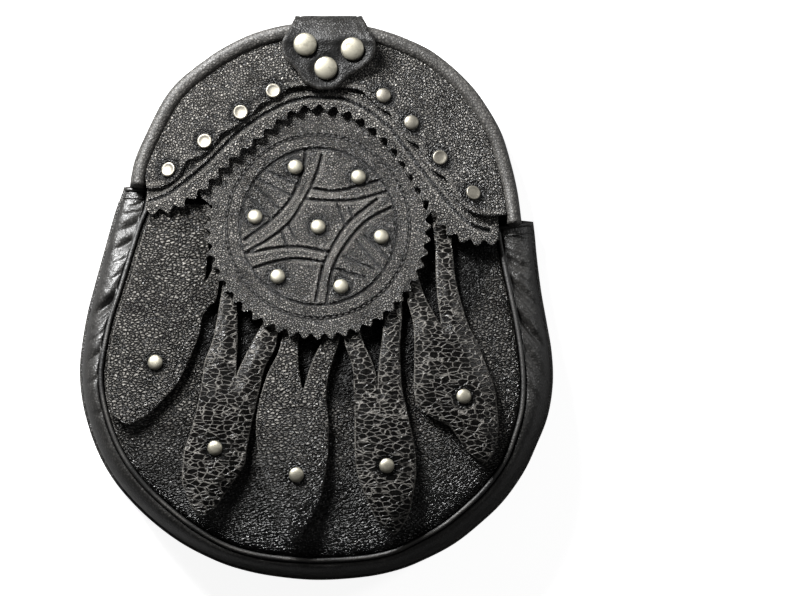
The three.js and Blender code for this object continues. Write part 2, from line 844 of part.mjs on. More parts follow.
function cantleEdge() {
  const rivets = cantle_rivets.map(place);
  const middle = cantle_rivets.length / 2;
  const edge = [arch_inner[0]];
  rivets.forEach((rivet, k) => {
    const from = k === 0 ? rivet : rivets[k - 1];
    const to = k === rivets.length - 1 ? rivet : rivets[k + 1];
    const crosses = k === middle - 1 ? rivets[k - 1] : k === middle ? rivets[k + 1] : null;
    const along = crosses ? rivet.clone().sub(crosses) : to.clone().sub(from);
    if (k === middle) along.negate();
    along.normalize();
    const inward = new THREE.Vector2(along.y, -along.x);
    edge.push(rivet.clone().addScaledVector(inward, lobe_reach));
    if (k === middle - 1) {
      edge.push(place(cantle_middle));
    } else if (k < rivets.length - 1) {
      const notch = rivet.clone().lerp(rivets[k + 1], 0.5);
      const next = rivets[k + 1].clone().sub(rivet).normalize();
      const back_in = new THREE.Vector2(next.y, -next.x);
      edge.push(notch.addScaledVector(back_in, lobe_reach - wave_height));
    }
  });
  edge.push(arch_inner[arch_inner.length - 1]);
  return new THREE.SplineCurve(edge).getPoints(edge.length * 2);
}

const cantle_outline = [...cantleEdge(), ...arch_inner.slice(1, -1).reverse()];
const cantle = { body: sheet(cantle_outline, cantleUnder, cantle_wall), wall: cantle_wall };
const cantleTop = above(cantleUnder, cantle_wall);
cantle_rivets.forEach((row, k) => {
  addRivet(`cantle_rivet_${k + 1}`, place(row), rivet_radius, facets(cantleTop), [cantle, trim]);
});
addPiece('flap_trim', geometryOf(trim.body), 'leather');

const roll_path = offsetPath(arch_path, -roll_width / 2);
const rollLow = (point) => restHeight(point.y) + clearance / 2;
const rollHigh = (point) => cantleTop(point.x, point.y) + roll_proud;
addPiece('edge_roll', rolled(roll_path, roll_width / 2, rollLow, rollHigh, 8), 'soft');

// Hanger tab: over the cantle, round the roll and down the back as the strap loop

function tabBend() {
  const crest = roll_path.reduce((best, point) => (point.y > best.y ? point : best));
  const low = rollLow(crest) - clearance;
  const high = rollHigh(crest) + clearance;
  const middle = (low + high) / 2;
  const inner = { y: roll_width / 2 + clearance, z: (high - low) / 2 };
  const front_y = crest.y - tab_flat;
  const front_z = Math.max(high, facetAt(tabUnder, tab_centre, front_y));
  const end_y = crest.y - loop_length;
  const seat_z = backUnder(tab_centre + tab_width / 2, end_y) - clearance - tab_wall;
  const contour = (rise) => {
    const bend = [50, 25, 0, -35, -70].map((degrees) => {
      const angle = THREE.MathUtils.degToRad(degrees);
      return [
        crest.y + (inner.y + rise) * Math.cos(angle),
        middle + (inner.z + rise) * Math.sin(angle),
      ];
    });
    return [
      [front_y, front_z + rise],
      [crest.y, front_z + rise],
      ...bend,
      [crest.y - strip_start, tab_wall - rise],
      [end_y + seat_length * 2, tab_wall - rise],
      [end_y + seat_length, seat_z + tab_wall - rise],
      [end_y, seat_z + tab_wall - rise],
    ];
  };
  const outline = [...contour(0), ...contour(tab_wall).reverse()];
  const geometry = new THREE.ExtrudeGeometry(
    new THREE.Shape(outline.map(([y, z]) => new THREE.Vector2(y, z))),
    { depth: tab_width, bevelEnabled: false },
  );
  const turn = new THREE.Matrix4().makeBasis(
    new THREE.Vector3(0, 1, 0),
    new THREE.Vector3(0, 0, 1),
    new THREE.Vector3(1, 0, 0),
  );
  geometry.applyMatrix4(turn).translate(tab_centre - tab_width / 2, 0, 0);
  return { bend: solid(geometry), front_y, bend_top: front_z + tab_wall };
}

const { bend, front_y, bend_top } = tabBend();
const tab_spots = tab_rivets.map(place);
const lobe_outlines = tab_spots.map((spot) => (
  Array.from({ length: lobe_sides }, (_, k) => {
    const angle = (2 * Math.PI * k) / lobe_sides;
    return new THREE.Vector2(
      spot.x + tab_lobe * Math.cos(angle),
      spot.y + tab_lobe * Math.sin(angle),
    );
  })));
const flat_lobes = lobe_outlines.slice(0, 2)
  .map((outline) => slab(outline, bend_top - tab_wall, bend_top));
const lobes = lobe_outlines.map(prism);
const neck = prism([
  new THREE.Vector2(tab_centre - tab_width / 2, front_y + tab_lap),
  new THREE.Vector2(tab_spots[2].x, tab_spots[2].y),
  new THREE.Vector2(tab_centre + tab_width / 2, front_y + tab_lap),
]);
const tab_box = new THREE.Box2().setFromPoints(tab_spots).expandByScalar(tab_lobe);
const below_bend = prism([
  new THREE.Vector2(-half_width, 0),
  new THREE.Vector2(half_width, 0),
  new THREE.Vector2(half_width, front_y + tab_lap),
  new THREE.Vector2(-half_width, front_y + tab_lap),
]);
const tab_front = lobes.reduce((sum, lobe) => sum.add(lobe), neck)
  .intersect(below_bend)
  .intersect(blanket(tabUnder, tab_wall, tab_box));
const tab_body = flat_lobes
  .map((lobe) => lobe.subtract(below_bend))
  .reduce((sum, lobe) => sum.add(lobe), tab_front.add(bend));
const tab = { body: tab_body, wall: tab_wall };
const tabTop = (x, y) => {
  const lying = facetAt(above(tabUnder, tab_wall), x, y);
  return y > front_y ? Math.max(lying, bend_top) : lying;
};
tab_spots.forEach((spot, k) => {
  addRivet(`tab_rivet_${k + 1}`, spot, tab_rivet_radius, tabTop, [tab, cantle]);
});
addPiece('cantle', geometryOf(cantle.body), 'leather');
addPiece('hanger_tab', geometryOf(tab.body), 'leather');

// The origin is at the middle of the pouch's underside
const bounds = new THREE.Box3().setFromObject(pouch, true);
const middle = bounds.getCenter(new THREE.Vector3());
pouch.position.set(-middle.x, -middle.y, -bounds.min.z);
pouch.updateMatrixWorld(true);

export default pouch;
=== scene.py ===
import math

import bmesh
import bpy
import numpy as np
from mathutils import Matrix, Vector, noise


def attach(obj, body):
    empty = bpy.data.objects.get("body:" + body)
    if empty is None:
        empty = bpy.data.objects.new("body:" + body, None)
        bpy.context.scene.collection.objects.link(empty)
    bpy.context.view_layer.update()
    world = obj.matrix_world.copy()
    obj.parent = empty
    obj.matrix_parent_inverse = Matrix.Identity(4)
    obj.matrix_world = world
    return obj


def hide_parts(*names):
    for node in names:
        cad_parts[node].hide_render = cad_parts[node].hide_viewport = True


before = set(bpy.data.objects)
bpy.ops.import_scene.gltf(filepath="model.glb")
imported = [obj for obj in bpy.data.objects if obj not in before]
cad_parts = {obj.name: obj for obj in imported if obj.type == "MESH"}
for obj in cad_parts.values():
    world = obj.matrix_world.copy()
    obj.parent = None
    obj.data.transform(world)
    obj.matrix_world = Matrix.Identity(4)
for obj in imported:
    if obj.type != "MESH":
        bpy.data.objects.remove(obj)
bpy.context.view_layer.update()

# Lengths are millimetres in the plan of the part's source: x from the middle line,
# y up from the foot, z up from the table. They become metres when a piece is finished.
MM = 0.001
PLAN_ORIGIN = (0.0335, -101.859, 0.0)

POUCH_HEIGHT = 204.0
HALF_WIDTH = 85.4
SEAM_DEPTH = 26.5
FRONT_CROWN = 9.0
REST_LIFT = 2.4
CLEARANCE = 0.3
BACK_WALL = 2.0
PANEL_WALL = 2.0
GUSSET_WALL = 1.8
TASSEL_WALL = 1.8
MEDALLION_WALL = 2.0
TRIM_WALL = 1.5
CANTLE_WALL = 1.8
TAB_WALL = 1.9
GUSSET_REACH = 10.0
BACK_EDGE = 1.1
GUSSET_FOLD = 3.0
PIPING_WIDTH = 1.7
ROLL_WIDTH = 5.6
ROLL_PROUD = 1.2
CANTLE_TUCK = 0.8
BACK_TUCK = 1.0
TASSEL_RISE = 2.1
TOOTH_PITCH = 4.8
TRIM_TOOTH_PITCH = 5.4
TOOTH_DEPTH = 2.1
TRIM_BAND = 15.0
TRIM_GAP = 0.4
UNDER_TRIM = 6.0
MEDALLION_RADIUS = 39.7
TAB_WIDTH = 24.6
TAB_FLAT = 14.0
LOOP_LENGTH = 76.0
LOOP_ROOM = 4.7
LOOP_HOLLOW = 40.0
LOOP_DROP = 49.0
SEAT_LENGTH = 9.0
STRAP_CORNER = 5.0
STRAP_LOWEST = 0.15
RIVET_RADIUS = 2.7
TAB_RIVET_RADIUS = 4.2
RIVET_RISE = 1.3

# Unevenness of the leathers: width of a swell, its seed and its height
GUSSET_SWELLS = [(11, 3.0, 0.35), (4.2, 7.0, 0.16)]
ROLL_SWELLS = [(9, 1.0, 0.16), (3.0, 2.0, 0.05)]
FRONT_SWELLS = [(16, 5.0, 0.45), (7, 6.0, 0.12)]
MEDALLION_SWELLS = [(18, 9.0, 0.25)]
TRIM_SWELLS = [(8, 11.0, 0.35)]
CANTLE_SWELLS = [(15, 13.0, 0.3)]
TAB_SWELLS = [(5, 17.0, 0.15)]

# Edges of the cut leathers, and how finely everything is made
MERGE_DISTANCE = 1e-4
SHEET_RIMS = (0.12, 0.2)
TAB_RIMS = (0.15, 0.25)
SHEET_ROUNDING = 0.35
STAMPED_ROUNDING = 0.3
TAB_ROUNDING = 0.5
EDGE_FADE = 0.9
SEAM_STEPS = 440
ARCH_STEPS = 300
TOOTH_STEPS = 8
TABLE_STEP = 0.5
TABLE_MARGIN = 6
CHORD_SOFTNESS = 5
SECTION_SOFTNESS = 8

# Side view, as shares of the height: the seam's height and the front's crown over it
SIDE_SECTIONS = [
    (0.00, 0.96, 0.00), (0.04, 0.98, 0.00), (0.10, 1.00, 0.50), (0.18, 1.00, 0.82),
    (0.30, 0.93, 1.00), (0.40, 0.82, 1.00), (0.50, 0.66, 1.00), (0.56, 0.53, 0.99),
    (0.63, 0.34, 0.97), (0.70, 0.17, 0.92), (0.80, 0.06, 0.72), (0.90, -0.02, 0.36),
    (0.96, -0.05, 0.12), (1.00, -0.06, 0.00),
]

# Front seam from the left hem round the foot to the right hem: x, up, reach of the gusset
SEAM_SECTIONS = [
    (-0.712, 0.694, 0.87), (-0.717, 0.658, 1.05), (-0.746, 0.627, 1.00),
    (-0.789, 0.568, 0.97), (-0.831, 0.510, 0.94), (-0.869, 0.460, 0.88),
    (-0.899, 0.398, 0.83), (-0.907, 0.354, 0.79), (-0.890, 0.306, 0.79),
    (-0.848, 0.251, 0.79), (-0.789, 0.205, 0.80), (-0.712, 0.165, 0.80),
    (-0.619, 0.129, 0.81), (-0.518, 0.096, 0.77), (-0.408, 0.069, 0.71),
    (-0.311, 0.053, 0.69), (-0.180, 0.042, 0.71), (0.000, 0.037, 0.75),
    (0.192, 0.041, 0.73), (0.323, 0.052, 0.72), (0.421, 0.071, 0.77),
    (0.531, 0.097, 0.80), (0.632, 0.131, 0.81), (0.717, 0.166, 0.82),
    (0.793, 0.211, 0.82), (0.835, 0.255, 0.88), (0.865, 0.301, 0.99),
    (0.873, 0.350, 1.08), (0.865, 0.398, 1.11), (0.848, 0.446, 1.09),
    (0.823, 0.499, 1.11), (0.793, 0.559, 1.21), (0.776, 0.596, 1.28),
    (0.767, 0.627, 1.28),
]

# Section through the gusset: out from the seam, down to the back
GUSSET_PROFILE = [
    (0.00, 0.00), (0.34, 0.04), (0.66, 0.16), (0.88, 0.36), (0.99, 0.66), (0.98, 1.00),
]

# Folds of the gusset: side, up at the seam, up at the edge, depth, width
GUSSET_FOLDS = [
    (-1, 0.632, 0.600, 0.5, 0.016), (-1, 0.603, 0.566, 0.7, 0.016),
    (-1, 0.502, 0.452, 1.0, 0.017), (-1, 0.405, 0.375, 0.4, 0.015),
    (1, 0.572, 0.532, 0.6, 0.015), (1, 0.535, 0.470, 0.9, 0.016),
    (1, 0.478, 0.395, 1.0, 0.016), (1, 0.415, 0.340, 0.5, 0.015),
]

# Small creases of the soft gusset between the folds, in the same columns
GUSSET_CREASES = [
    (-1, 0.672, 0.640, 0.16, 0.006), (-1, 0.652, 0.628, 0.12, 0.004),
    (-1, 0.570, 0.540, 0.14, 0.006), (-1, 0.545, 0.500, 0.10, 0.005),
    (-1, 0.470, 0.430, 0.16, 0.006), (-1, 0.440, 0.410, 0.10, 0.005),
    (-1, 0.360, 0.345, 0.12, 0.006), (-1, 0.300, 0.300, 0.08, 0.007),
    (1, 0.612, 0.590, 0.16, 0.005), (1, 0.598, 0.572, 0.12, 0.004),
    (1, 0.586, 0.552, 0.12, 0.004), (1, 0.552, 0.505, 0.14, 0.005),
    (1, 0.518, 0.440, 0.12, 0.005), (1, 0.500, 0.420, 0.14, 0.005),
    (1, 0.450, 0.372, 0.14, 0.006), (1, 0.430, 0.352, 0.10, 0.005),
    (1, 0.385, 0.320, 0.12, 0.006), (1, 0.350, 0.300, 0.08, 0.006),
]

# Outer edge of the upper roll, left hem to right hem
ARCH_SECTIONS = [
    (-0.786, 0.703), (-0.767, 0.743), (-0.712, 0.796), (-0.645, 0.850), (-0.577, 0.885),
    (-0.471, 0.920), (-0.387, 0.943), (-0.260, 0.968), (-0.100, 0.984), (0.070, 0.987),
    (0.260, 0.975), (0.438, 0.947), (0.539, 0.920), (0.632, 0.885), (0.700, 0.850),
    (0.776, 0.796), (0.818, 0.743), (0.848, 0.690), (0.864, 0.642),
]

MOUTH_SECTIONS = [
    (0.745, 0.650), (0.690, 0.668), (0.380, 0.670), (0.000, 0.666), (-0.340, 0.672),
    (-0.660, 0.684),
]

TRIM_SECTIONS = [
    (-0.721, 0.650), (-0.632, 0.653), (-0.564, 0.664), (-0.459, 0.697), (-0.362, 0.740),
    (-0.264, 0.773), (-0.171, 0.806), (-0.070, 0.832), (0.023, 0.835), (0.129, 0.825),
    (0.226, 0.800), (0.319, 0.763), (0.391, 0.715), (0.459, 0.669), (0.531, 0.625),
    (0.594, 0.605), (0.666, 0.596), (0.772, 0.597),
]

CANTLE_RIVETS = [
    (-0.624, 0.726), (-0.471, 0.776), (-0.319, 0.827), (-0.182, 0.865), (0.283, 0.857),
    (0.401, 0.809), (0.522, 0.747), (0.662, 0.685),
]
MEDALLION_PLACE = (0.008, 0.625)
STUD_RING = 0.58
STUD_COUNT = 6
STUD_TURN = -9.0

# The medallion's edge is smooth where it lies under the trim: degrees in which it changes
UNDER_TRIM_RIGHT = (12, 30)
UNDER_TRIM_LEFT = (163, 169)
TAB_RIVETS = [(-0.047, 0.947), (0.152, 0.939), (0.040, 0.905)]

# Tassels: the rivet, then the edge as smooth runs that meet at corners, from the tip up
# the left side, round the strands and down the right side to the tip
TASSELS = [
    {
        "rivet": (-0.677, 0.386),
        "runs": [
            [(-0.800, 0.276), (-0.850, 0.292), (-0.868, 0.312), (-0.880, 0.343),
             (-0.876, 0.382), (-0.858, 0.434), (-0.829, 0.478), (-0.778, 0.540),
             (-0.738, 0.602), (-0.691, 0.664)],
            [(-0.446, 0.664), (-0.450, 0.602), (-0.462, 0.556), (-0.470, 0.526)],
            [(-0.455, 0.534), (-0.434, 0.552)],
            [(-0.408, 0.552), (-0.411, 0.520), (-0.424, 0.494), (-0.455, 0.482),
             (-0.482, 0.462), (-0.493, 0.434), (-0.543, 0.382), (-0.594, 0.343),
             (-0.662, 0.312), (-0.712, 0.292), (-0.780, 0.277)],
        ],
        "wrinkled": False,
    },
    {
        "rivet": (-0.425, 0.235),
        "runs": [
            [(-0.480, 0.114), (-0.493, 0.115), (-0.526, 0.131), (-0.543, 0.152),
             (-0.564, 0.175), (-0.560, 0.205), (-0.552, 0.235), (-0.526, 0.265),
             (-0.497, 0.312), (-0.478, 0.358), (-0.467, 0.389), (-0.433, 0.428),
             (-0.400, 0.503), (-0.387, 0.545)],
            [(-0.319, 0.545), (-0.332, 0.503), (-0.330, 0.428), (-0.334, 0.389),
             (-0.336, 0.358)],
            [(-0.330, 0.368), (-0.319, 0.379), (-0.281, 0.412), (-0.230, 0.451),
             (-0.213, 0.469)],
            [(-0.150, 0.469), (-0.158, 0.451), (-0.171, 0.412), (-0.214, 0.379),
             (-0.226, 0.358), (-0.252, 0.312), (-0.277, 0.265), (-0.290, 0.235),
             (-0.302, 0.205), (-0.349, 0.175), (-0.387, 0.152), (-0.421, 0.131),
             (-0.467, 0.115)],
        ],
        "wrinkled": True,
    },
    {
        "rivet": (-0.082, 0.188),
        "runs": [
            [(-0.102, 0.066), (-0.112, 0.067), (-0.142, 0.074), (-0.169, 0.099),
             (-0.188, 0.131), (-0.203, 0.158), (-0.230, 0.198), (-0.247, 0.239),
             (-0.252, 0.280), (-0.236, 0.321), (-0.201, 0.368), (-0.155, 0.407),
             (-0.135, 0.451), (-0.125, 0.469)],
            [(-0.060, 0.469), (-0.066, 0.451), (-0.076, 0.407), (-0.070, 0.368),
             (-0.056, 0.334)],
            [(-0.046, 0.348), (-0.015, 0.388), (0.032, 0.430), (0.055, 0.469)],
            [(0.105, 0.469), (0.100, 0.430), (0.070, 0.388), (0.049, 0.354),
             (0.043, 0.321), (0.053, 0.280), (0.053, 0.239), (0.044, 0.198),
             (0.027, 0.158), (0.006, 0.131), (-0.040, 0.099), (-0.074, 0.074),
             (-0.095, 0.067)],
        ],
        "wrinkled": False,
    },
    {
        "rivet": (0.298, 0.204),
        "runs": [
            [(0.328, 0.082), (0.315, 0.085), (0.273, 0.097), (0.241, 0.119),
             (0.201, 0.156), (0.171, 0.196), (0.163, 0.239), (0.163, 0.292),
             (0.159, 0.338), (0.154, 0.377), (0.120, 0.423), (0.119, 0.469)],
            [(0.165, 0.469), (0.197, 0.423), (0.245, 0.377), (0.259, 0.340)],
            [(0.260, 0.352), (0.261, 0.366), (0.273, 0.414), (0.290, 0.469),
             (0.302, 0.508)],
            [(0.357, 0.508), (0.362, 0.469), (0.353, 0.414), (0.357, 0.366),
             (0.362, 0.338), (0.387, 0.292), (0.414, 0.239), (0.421, 0.196),
             (0.410, 0.156), (0.391, 0.119), (0.362, 0.097), (0.338, 0.084)],
        ],
        "wrinkled": True,
    },
    {
        "rivet": (0.622, 0.326),
        "runs": [
            [(0.706, 0.209), (0.691, 0.212), (0.643, 0.227), (0.598, 0.253),
             (0.560, 0.273), (0.490, 0.288), (0.429, 0.308), (0.412, 0.340),
             (0.414, 0.384), (0.410, 0.450), (0.386, 0.490), (0.376, 0.513),
             (0.345, 0.545)],
            [(0.425, 0.545), (0.447, 0.513), (0.471, 0.490), (0.524, 0.452)],
            [(0.524, 0.464), (0.514, 0.490), (0.505, 0.535), (0.501, 0.591),
             (0.484, 0.651)],
            [(0.560, 0.651), (0.573, 0.591), (0.586, 0.535), (0.611, 0.490),
             (0.643, 0.450), (0.683, 0.416), (0.712, 0.384), (0.751, 0.340),
             (0.761, 0.308), (0.765, 0.290), (0.767, 0.273), (0.763, 0.253),
             (0.746, 0.227), (0.721, 0.212)],
        ],
        "wrinkled": True,
    },
]

# Points that were measured in the picture: pixels across and down
PICTURE_WIDTH = 794
PICTURE_HEIGHT = 596
POUCH_PIXELS = 565
MIDDLE_PIXEL = 316.5
FOOT_PIXEL = 580
PIXEL = POUCH_HEIGHT / POUCH_PIXELS

# Rows of the picture between which the front turns away and painted shade comes in
LOW_SHADE_FROM_ROW = 360
LOW_SHADE_TO_ROW = 520

# Lower edge of the cantle, and the pressed line that runs along the trim
CANTLE_WAVE = [
    (145.7, 188.1), (152.6, 188.7), (163, 187), (171, 182.9), (179, 176), (184.2, 168),
    (187.1, 162.2), (190.5, 160.2), (199.7, 157.1), (207.7, 151.9), (215.8, 143.9),
    (219.2, 137.6), (222.7, 133.5), (228.4, 131.2), (239.9, 124.4), (249.1, 117.5),
    (255.9, 110.6), (260.5, 105.4), (266.3, 102.9), (275.5, 99.1), (282.3, 95.1),
    (286.9, 89.9), (293.8, 88.2), (307.6, 87), (326, 88), (341, 88.5), (354, 89.5),
    (362, 92), (369, 98.5), (380.8, 109), (388.5, 112.9), (391.7, 116.2), (394.4, 123.8),
    (401.4, 133.5), (410.1, 142.2), (416.5, 144.8), (420.4, 149.8), (424.2, 159.6),
    (430.7, 169.3), (439.4, 174.7), (445.2, 178.5), (449.1, 185.6), (455.7, 197.5),
    (464.3, 207.3), (474.1, 213.8), (487.1, 216.5), (500.1, 215.9),
]
TRIM_LINE = [
    (150.3, 200.7), (166.4, 195.5), (181.3, 185.2), (197.4, 172.6), (211.2, 160),
    (223.8, 147.3), (238.7, 132.4), (254.8, 120.9), (272, 110.6), (289.2, 102.6),
    (306.5, 98.5), (320, 98), (345, 100), (370, 111.9), (381.9, 121.6), (390.6, 128.1),
    (398.2, 139), (408, 150.9), (417.7, 165), (430.7, 181.2), (441.5, 195.3),
    (452.4, 208.4), (462.2, 218.1), (474, 226.8), (489.3, 231.1),
]

# Lines of the interlace: the long ones with a raised edge, then the bars between them
INTERLACE_BANDS = [
    [(306, 150), (304, 165), (298, 185), (288, 203), (273, 219), (245, 240)],
    [(322, 155), (316, 176), (304, 201), (289.5, 223), (270, 239), (246, 253)],
    [(377, 199.5), (356, 216), (344, 228), (333, 246), (323, 267.5), (316, 301)],
    [(391, 208), (369, 219.5), (352.5, 236), (339, 256), (331, 276), (327, 302)],
    [(313.5, 189), (339, 191), (378, 181)],
    [(307, 199.5), (331, 201), (356, 200), (386, 192)],
    [(248, 253.5), (273, 248.5), (298, 247), (328, 252)],
    [(253, 269), (273, 262.5), (296, 259), (324, 262)],
]
INTERLACE_BARS = [
    [(268, 171), (298, 185)], [(258, 179), (290, 195)],
    [(257, 187), (280, 209.5)], [(247, 194.5), (271, 218.6)],
    [(357, 241), (381, 269)], [(366, 236), (387, 258)],
    [(343, 256), (374, 269)], [(336, 269), (366, 277.5)],
    [(338, 205), (345, 225)], [(349, 208), (353, 218)],
    [(282, 233), (288, 248)], [(289, 226), (296, 239)],
]
PRESSED_DEPTH = 0.9
INNER_CIRCLE = 28.2
OUTER_CIRCLE = 33.0

# Upper part of the hanger tab, from the neck at the roll round the three lobes
TAB_FRONT = [
    (364, 17), (369, 26.5), (375, 41.5), (375, 53), (369.5, 63), (359.5, 70.5),
    (349, 77), (341, 84.6), (335, 89), (326.5, 90), (318, 89.5), (310, 86),
    (303, 82), (298, 72), (287, 61), (282, 50), (284, 36.5), (292, 24), (299, 16),
]


# Plan helpers

def place(point):
    return np.array((point[0] * HALF_WIDTH, point[1] * POUCH_HEIGHT))


def measured(point):
    return np.array(((point[0] - MIDDLE_PIXEL) * PIXEL, (FOOT_PIXEL - point[1]) * PIXEL))


def curve_through(points, count):
    """Points at even steps along a smooth curve through the given ones."""
    given = np.array(points, float)
    padded = np.vstack([given[:1], given, given[-1:]])
    t = np.linspace(0, 1, 24, endpoint=False)[:, None]
    fine = []
    for a, b, c, d in zip(padded, padded[1:], padded[2:], padded[3:]):
        fine.append(0.5 * (2 * b + (c - a) * t + (2 * a - 5 * b + 4 * c - d) * t ** 2
                           + (3 * b - 3 * c + d - a) * t ** 3))
    fine = np.vstack(fine + [given[-1:]])
    along = np.concatenate([[0], np.cumsum(np.linalg.norm(np.diff(fine, axis=0), axis=1))])
    wanted = np.linspace(0, along[-1], count + 1)
    return np.column_stack([np.interp(wanted, along, column) for column in fine.T])


def length_of(path):
    return float(np.linalg.norm(np.diff(np.array(path), axis=0), axis=1).sum())


def path_normals(path):
    along = np.gradient(path[:, :2], axis=0)
    along /= np.linalg.norm(along, axis=1)[:, None]
    return np.column_stack([-along[:, 1], along[:, 0]])


def offset_path(path, distance):
    return path[:, :2] + path_normals(path) * distance


def smoothstep(value, low, high):
    t = np.clip((np.asarray(value, float) - low) / (high - low), 0, 1)
    return t * t * (3 - 2 * t)


def distance_to(x, y, path, closed=True):
    """Distance of each point to a path."""
    a = np.array(path, float)
    b = np.roll(a, -1, axis=0) if closed else a[1:]
    a = a if closed else a[:-1]
    best = np.full(len(x), 1e9)
    points = np.column_stack([x, y])
    for p, q in zip(a, b):
        run = q - p
        share = np.clip((points - p) @ run / max(run @ run, 1e-12), 0, 1)
        gap = points - p - share[:, None] * run
        best = np.minimum(best, np.einsum("ij,ij->i", gap, gap))
    return np.sqrt(best)


def softened(values, sigma):
    """A table made smooth, with its ends held."""
    reach = int(sigma * 4)
    kernel = np.exp(-0.5 * (np.arange(-reach, reach + 1) / sigma) ** 2)
    kernel /= kernel.sum()
    held = np.concatenate([np.full(reach, values[0]), values, np.full(reach, values[-1])])
    return np.convolve(held, kernel, mode="valid")


def hill(distance, width):
    return np.exp(-(distance / width) ** 2)


seam_rows = curve_through([(*place(row), row[2]) for row in SEAM_SECTIONS], SEAM_STEPS)
seam_path = seam_rows[:, :2]
arch_path = curve_through([place(row) for row in ARCH_SECTIONS], ARCH_STEPS)
arch_inner = offset_path(arch_path, -(ROLL_WIDTH + CLEARANCE))
front_outline = np.vstack([seam_path, arch_inner[::-1]])
seam_normals = -path_normals(seam_rows)
tab_centre = (place(TAB_RIVETS[0])[0] + place(TAB_RIVETS[1])[0]) / 2
loop_middle = arch_path[len(arch_path) // 2][1] - LOOP_DROP


# Heights. Every layer follows the outer face of the front.

table_y = np.arange(-TABLE_MARGIN, POUCH_HEIGHT + TABLE_MARGIN, TABLE_STEP)


def chord_table():
    following = np.roll(front_outline, -1, axis=0)
    rows = []
    for y in table_y:
        crossing = (front_outline[:, 1] > y) != (following[:, 1] > y)
        if not crossing.any():
            rows.append((np.nan, np.nan))
            continue
        a, b = front_outline[crossing], following[crossing]
        x = a[:, 0] + (y - a[:, 1]) * (b[:, 0] - a[:, 0]) / (b[:, 1] - a[:, 1])
        rows.append((x.min(), x.max()))
    rows = np.array(rows)
    known = ~np.isnan(rows[:, 0])
    for column in range(2):
        rows[~known, column] = np.interp(table_y[~known], table_y[known], rows[known, column])
    return softened(rows[:, 0], CHORD_SOFTNESS), softened(rows[:, 1], CHORD_SOFTNESS)


chord_left, chord_right = chord_table()
side_up, side_seam, side_crown = np.array(SIDE_SECTIONS).T
table_up = table_y / POUCH_HEIGHT
seam_table = softened(np.interp(table_up, side_up, side_seam), SECTION_SOFTNESS)
crown_table = softened(np.interp(table_up, side_up, side_crown), SECTION_SOFTNESS)


def rest_height(y):
    return REST_LIFT * y / POUCH_HEIGHT


def back_under(x, y):
    away = np.hypot((x - tab_centre) / (LOOP_HOLLOW * 1.1), (y - loop_middle) / LOOP_HOLLOW)
    hollow = 1 - smoothstep(away, 0.5, 1)
    return rest_height(y) + (LOOP_ROOM + TAB_WALL - rest_height(loop_middle)) * hollow


def front_top(x, y):
    left = np.interp(y, table_y, chord_left)
    right = np.interp(y, table_y, chord_right)
    across = np.abs((2 * x - left - right) / (right - left))
    crown = np.interp(y, table_y, crown_table) * np.maximum(0, 1 - across ** 2.6)
    return rest_height(y) + SEAM_DEPTH * np.interp(y, table_y, seam_table) + FRONT_CROWN * crown


medallion_centre = place(MEDALLION_PLACE)
MEDALLION_UNDER = CLEARANCE + TASSEL_WALL + CLEARANCE
MEDALLION_LIFT = MEDALLION_WALL + CLEARANCE


def from_medallion(x, y):
    return np.hypot(x - medallion_centre[0], y - medallion_centre[1])


def tassel_top(x, y):
    return front_top(x, y) + CLEARANCE + TASSEL_WALL


def medallion_top(x, y):
    return front_top(x, y) + MEDALLION_UNDER + MEDALLION_WALL


def trim_top(x, y):
    away = from_medallion(x, y) - MEDALLION_RADIUS
    lift = 1 - smoothstep(away, 12, 28)
    return front_top(x, y) + MEDALLION_UNDER + MEDALLION_LIFT * lift + TRIM_WALL


def cantle_top(x, y):
    return trim_top(x, y) + CLEARANCE + CANTLE_WALL


def slack(x, y, size, seed):
    """Slow unevenness of soft leather, from -1 to 1."""
    return np.array([
        noise.noise(Vector((a / size, b / size, seed))) for a, b in zip(x, y)])


def swells(x, y, table):
    return sum(slack(x, y, size, seed) * height for size, seed, height in table)


# Meshes

def finish_piece(name, bm, material, nodes=()):
    """Closes a mesh made in the plan's millimetres and hangs it on the pouch's body."""
    bmesh.ops.recalc_face_normals(bm, faces=bm.faces[:])
    shift = Matrix.Translation(Vector(PLAN_ORIGIN))
    bmesh.ops.transform(bm, matrix=Matrix.Scale(MM, 4) @ shift, verts=bm.verts[:])
    mesh = bpy.data.meshes.new(name)
    bm.to_mesh(mesh)
    bm.free()
    mesh.polygons.foreach_set("use_smooth", [True] * len(mesh.polygons))
    mesh.materials.append(material)
    piece = bpy.data.objects.new(name, mesh)
    bpy.context.scene.collection.objects.link(piece)
    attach(piece, "root")
    if nodes:
        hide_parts(*nodes)
    return piece


def masked_mesh():
    """An empty mesh with room for the masks that the leathers read."""
    bm = bmesh.new()
    for name in ("edge", "painted_shade", "ridge"):
        bm.verts.layers.float.new(name)
    return bm


def plan_of(verts):
    return np.array([v.co.x for v in verts]), np.array([v.co.y for v in verts])


def scored_sheet(outline, step, rims):
    """A flat sheet cut to an outline, with a narrow rim, scored into small squares."""
    bm = masked_mesh()
    face = bm.faces.new([bm.verts.new((x, y, 0)) for x, y in outline])
    face.normal_update()
    if face.normal.z < 0:
        face.normal_flip()
    for rim in rims:
        bmesh.ops.inset_region(bm, faces=[face], thickness=rim, use_even_offset=True)
    low, high = np.min(outline, axis=0), np.max(outline, axis=0)
    for axis in range(2):
        direction = Vector((1 - axis, axis, 0))
        for value in np.arange(low[axis] + step * 0.5, high[axis], step):
            bmesh.ops.bisect_plane(
                bm,
                geom=bm.verts[:] + bm.edges[:] + bm.faces[:],
                dist=MERGE_DISTANCE,
                plane_co=direction * value,
                plane_no=direction,
            )
    return bm


def write_masks(bm, verts, masks):
    for name, values in masks.items():
        layer = bm.verts.layers.float[name]
        for vert, value in zip(verts, values):
            vert[layer] = float(value)


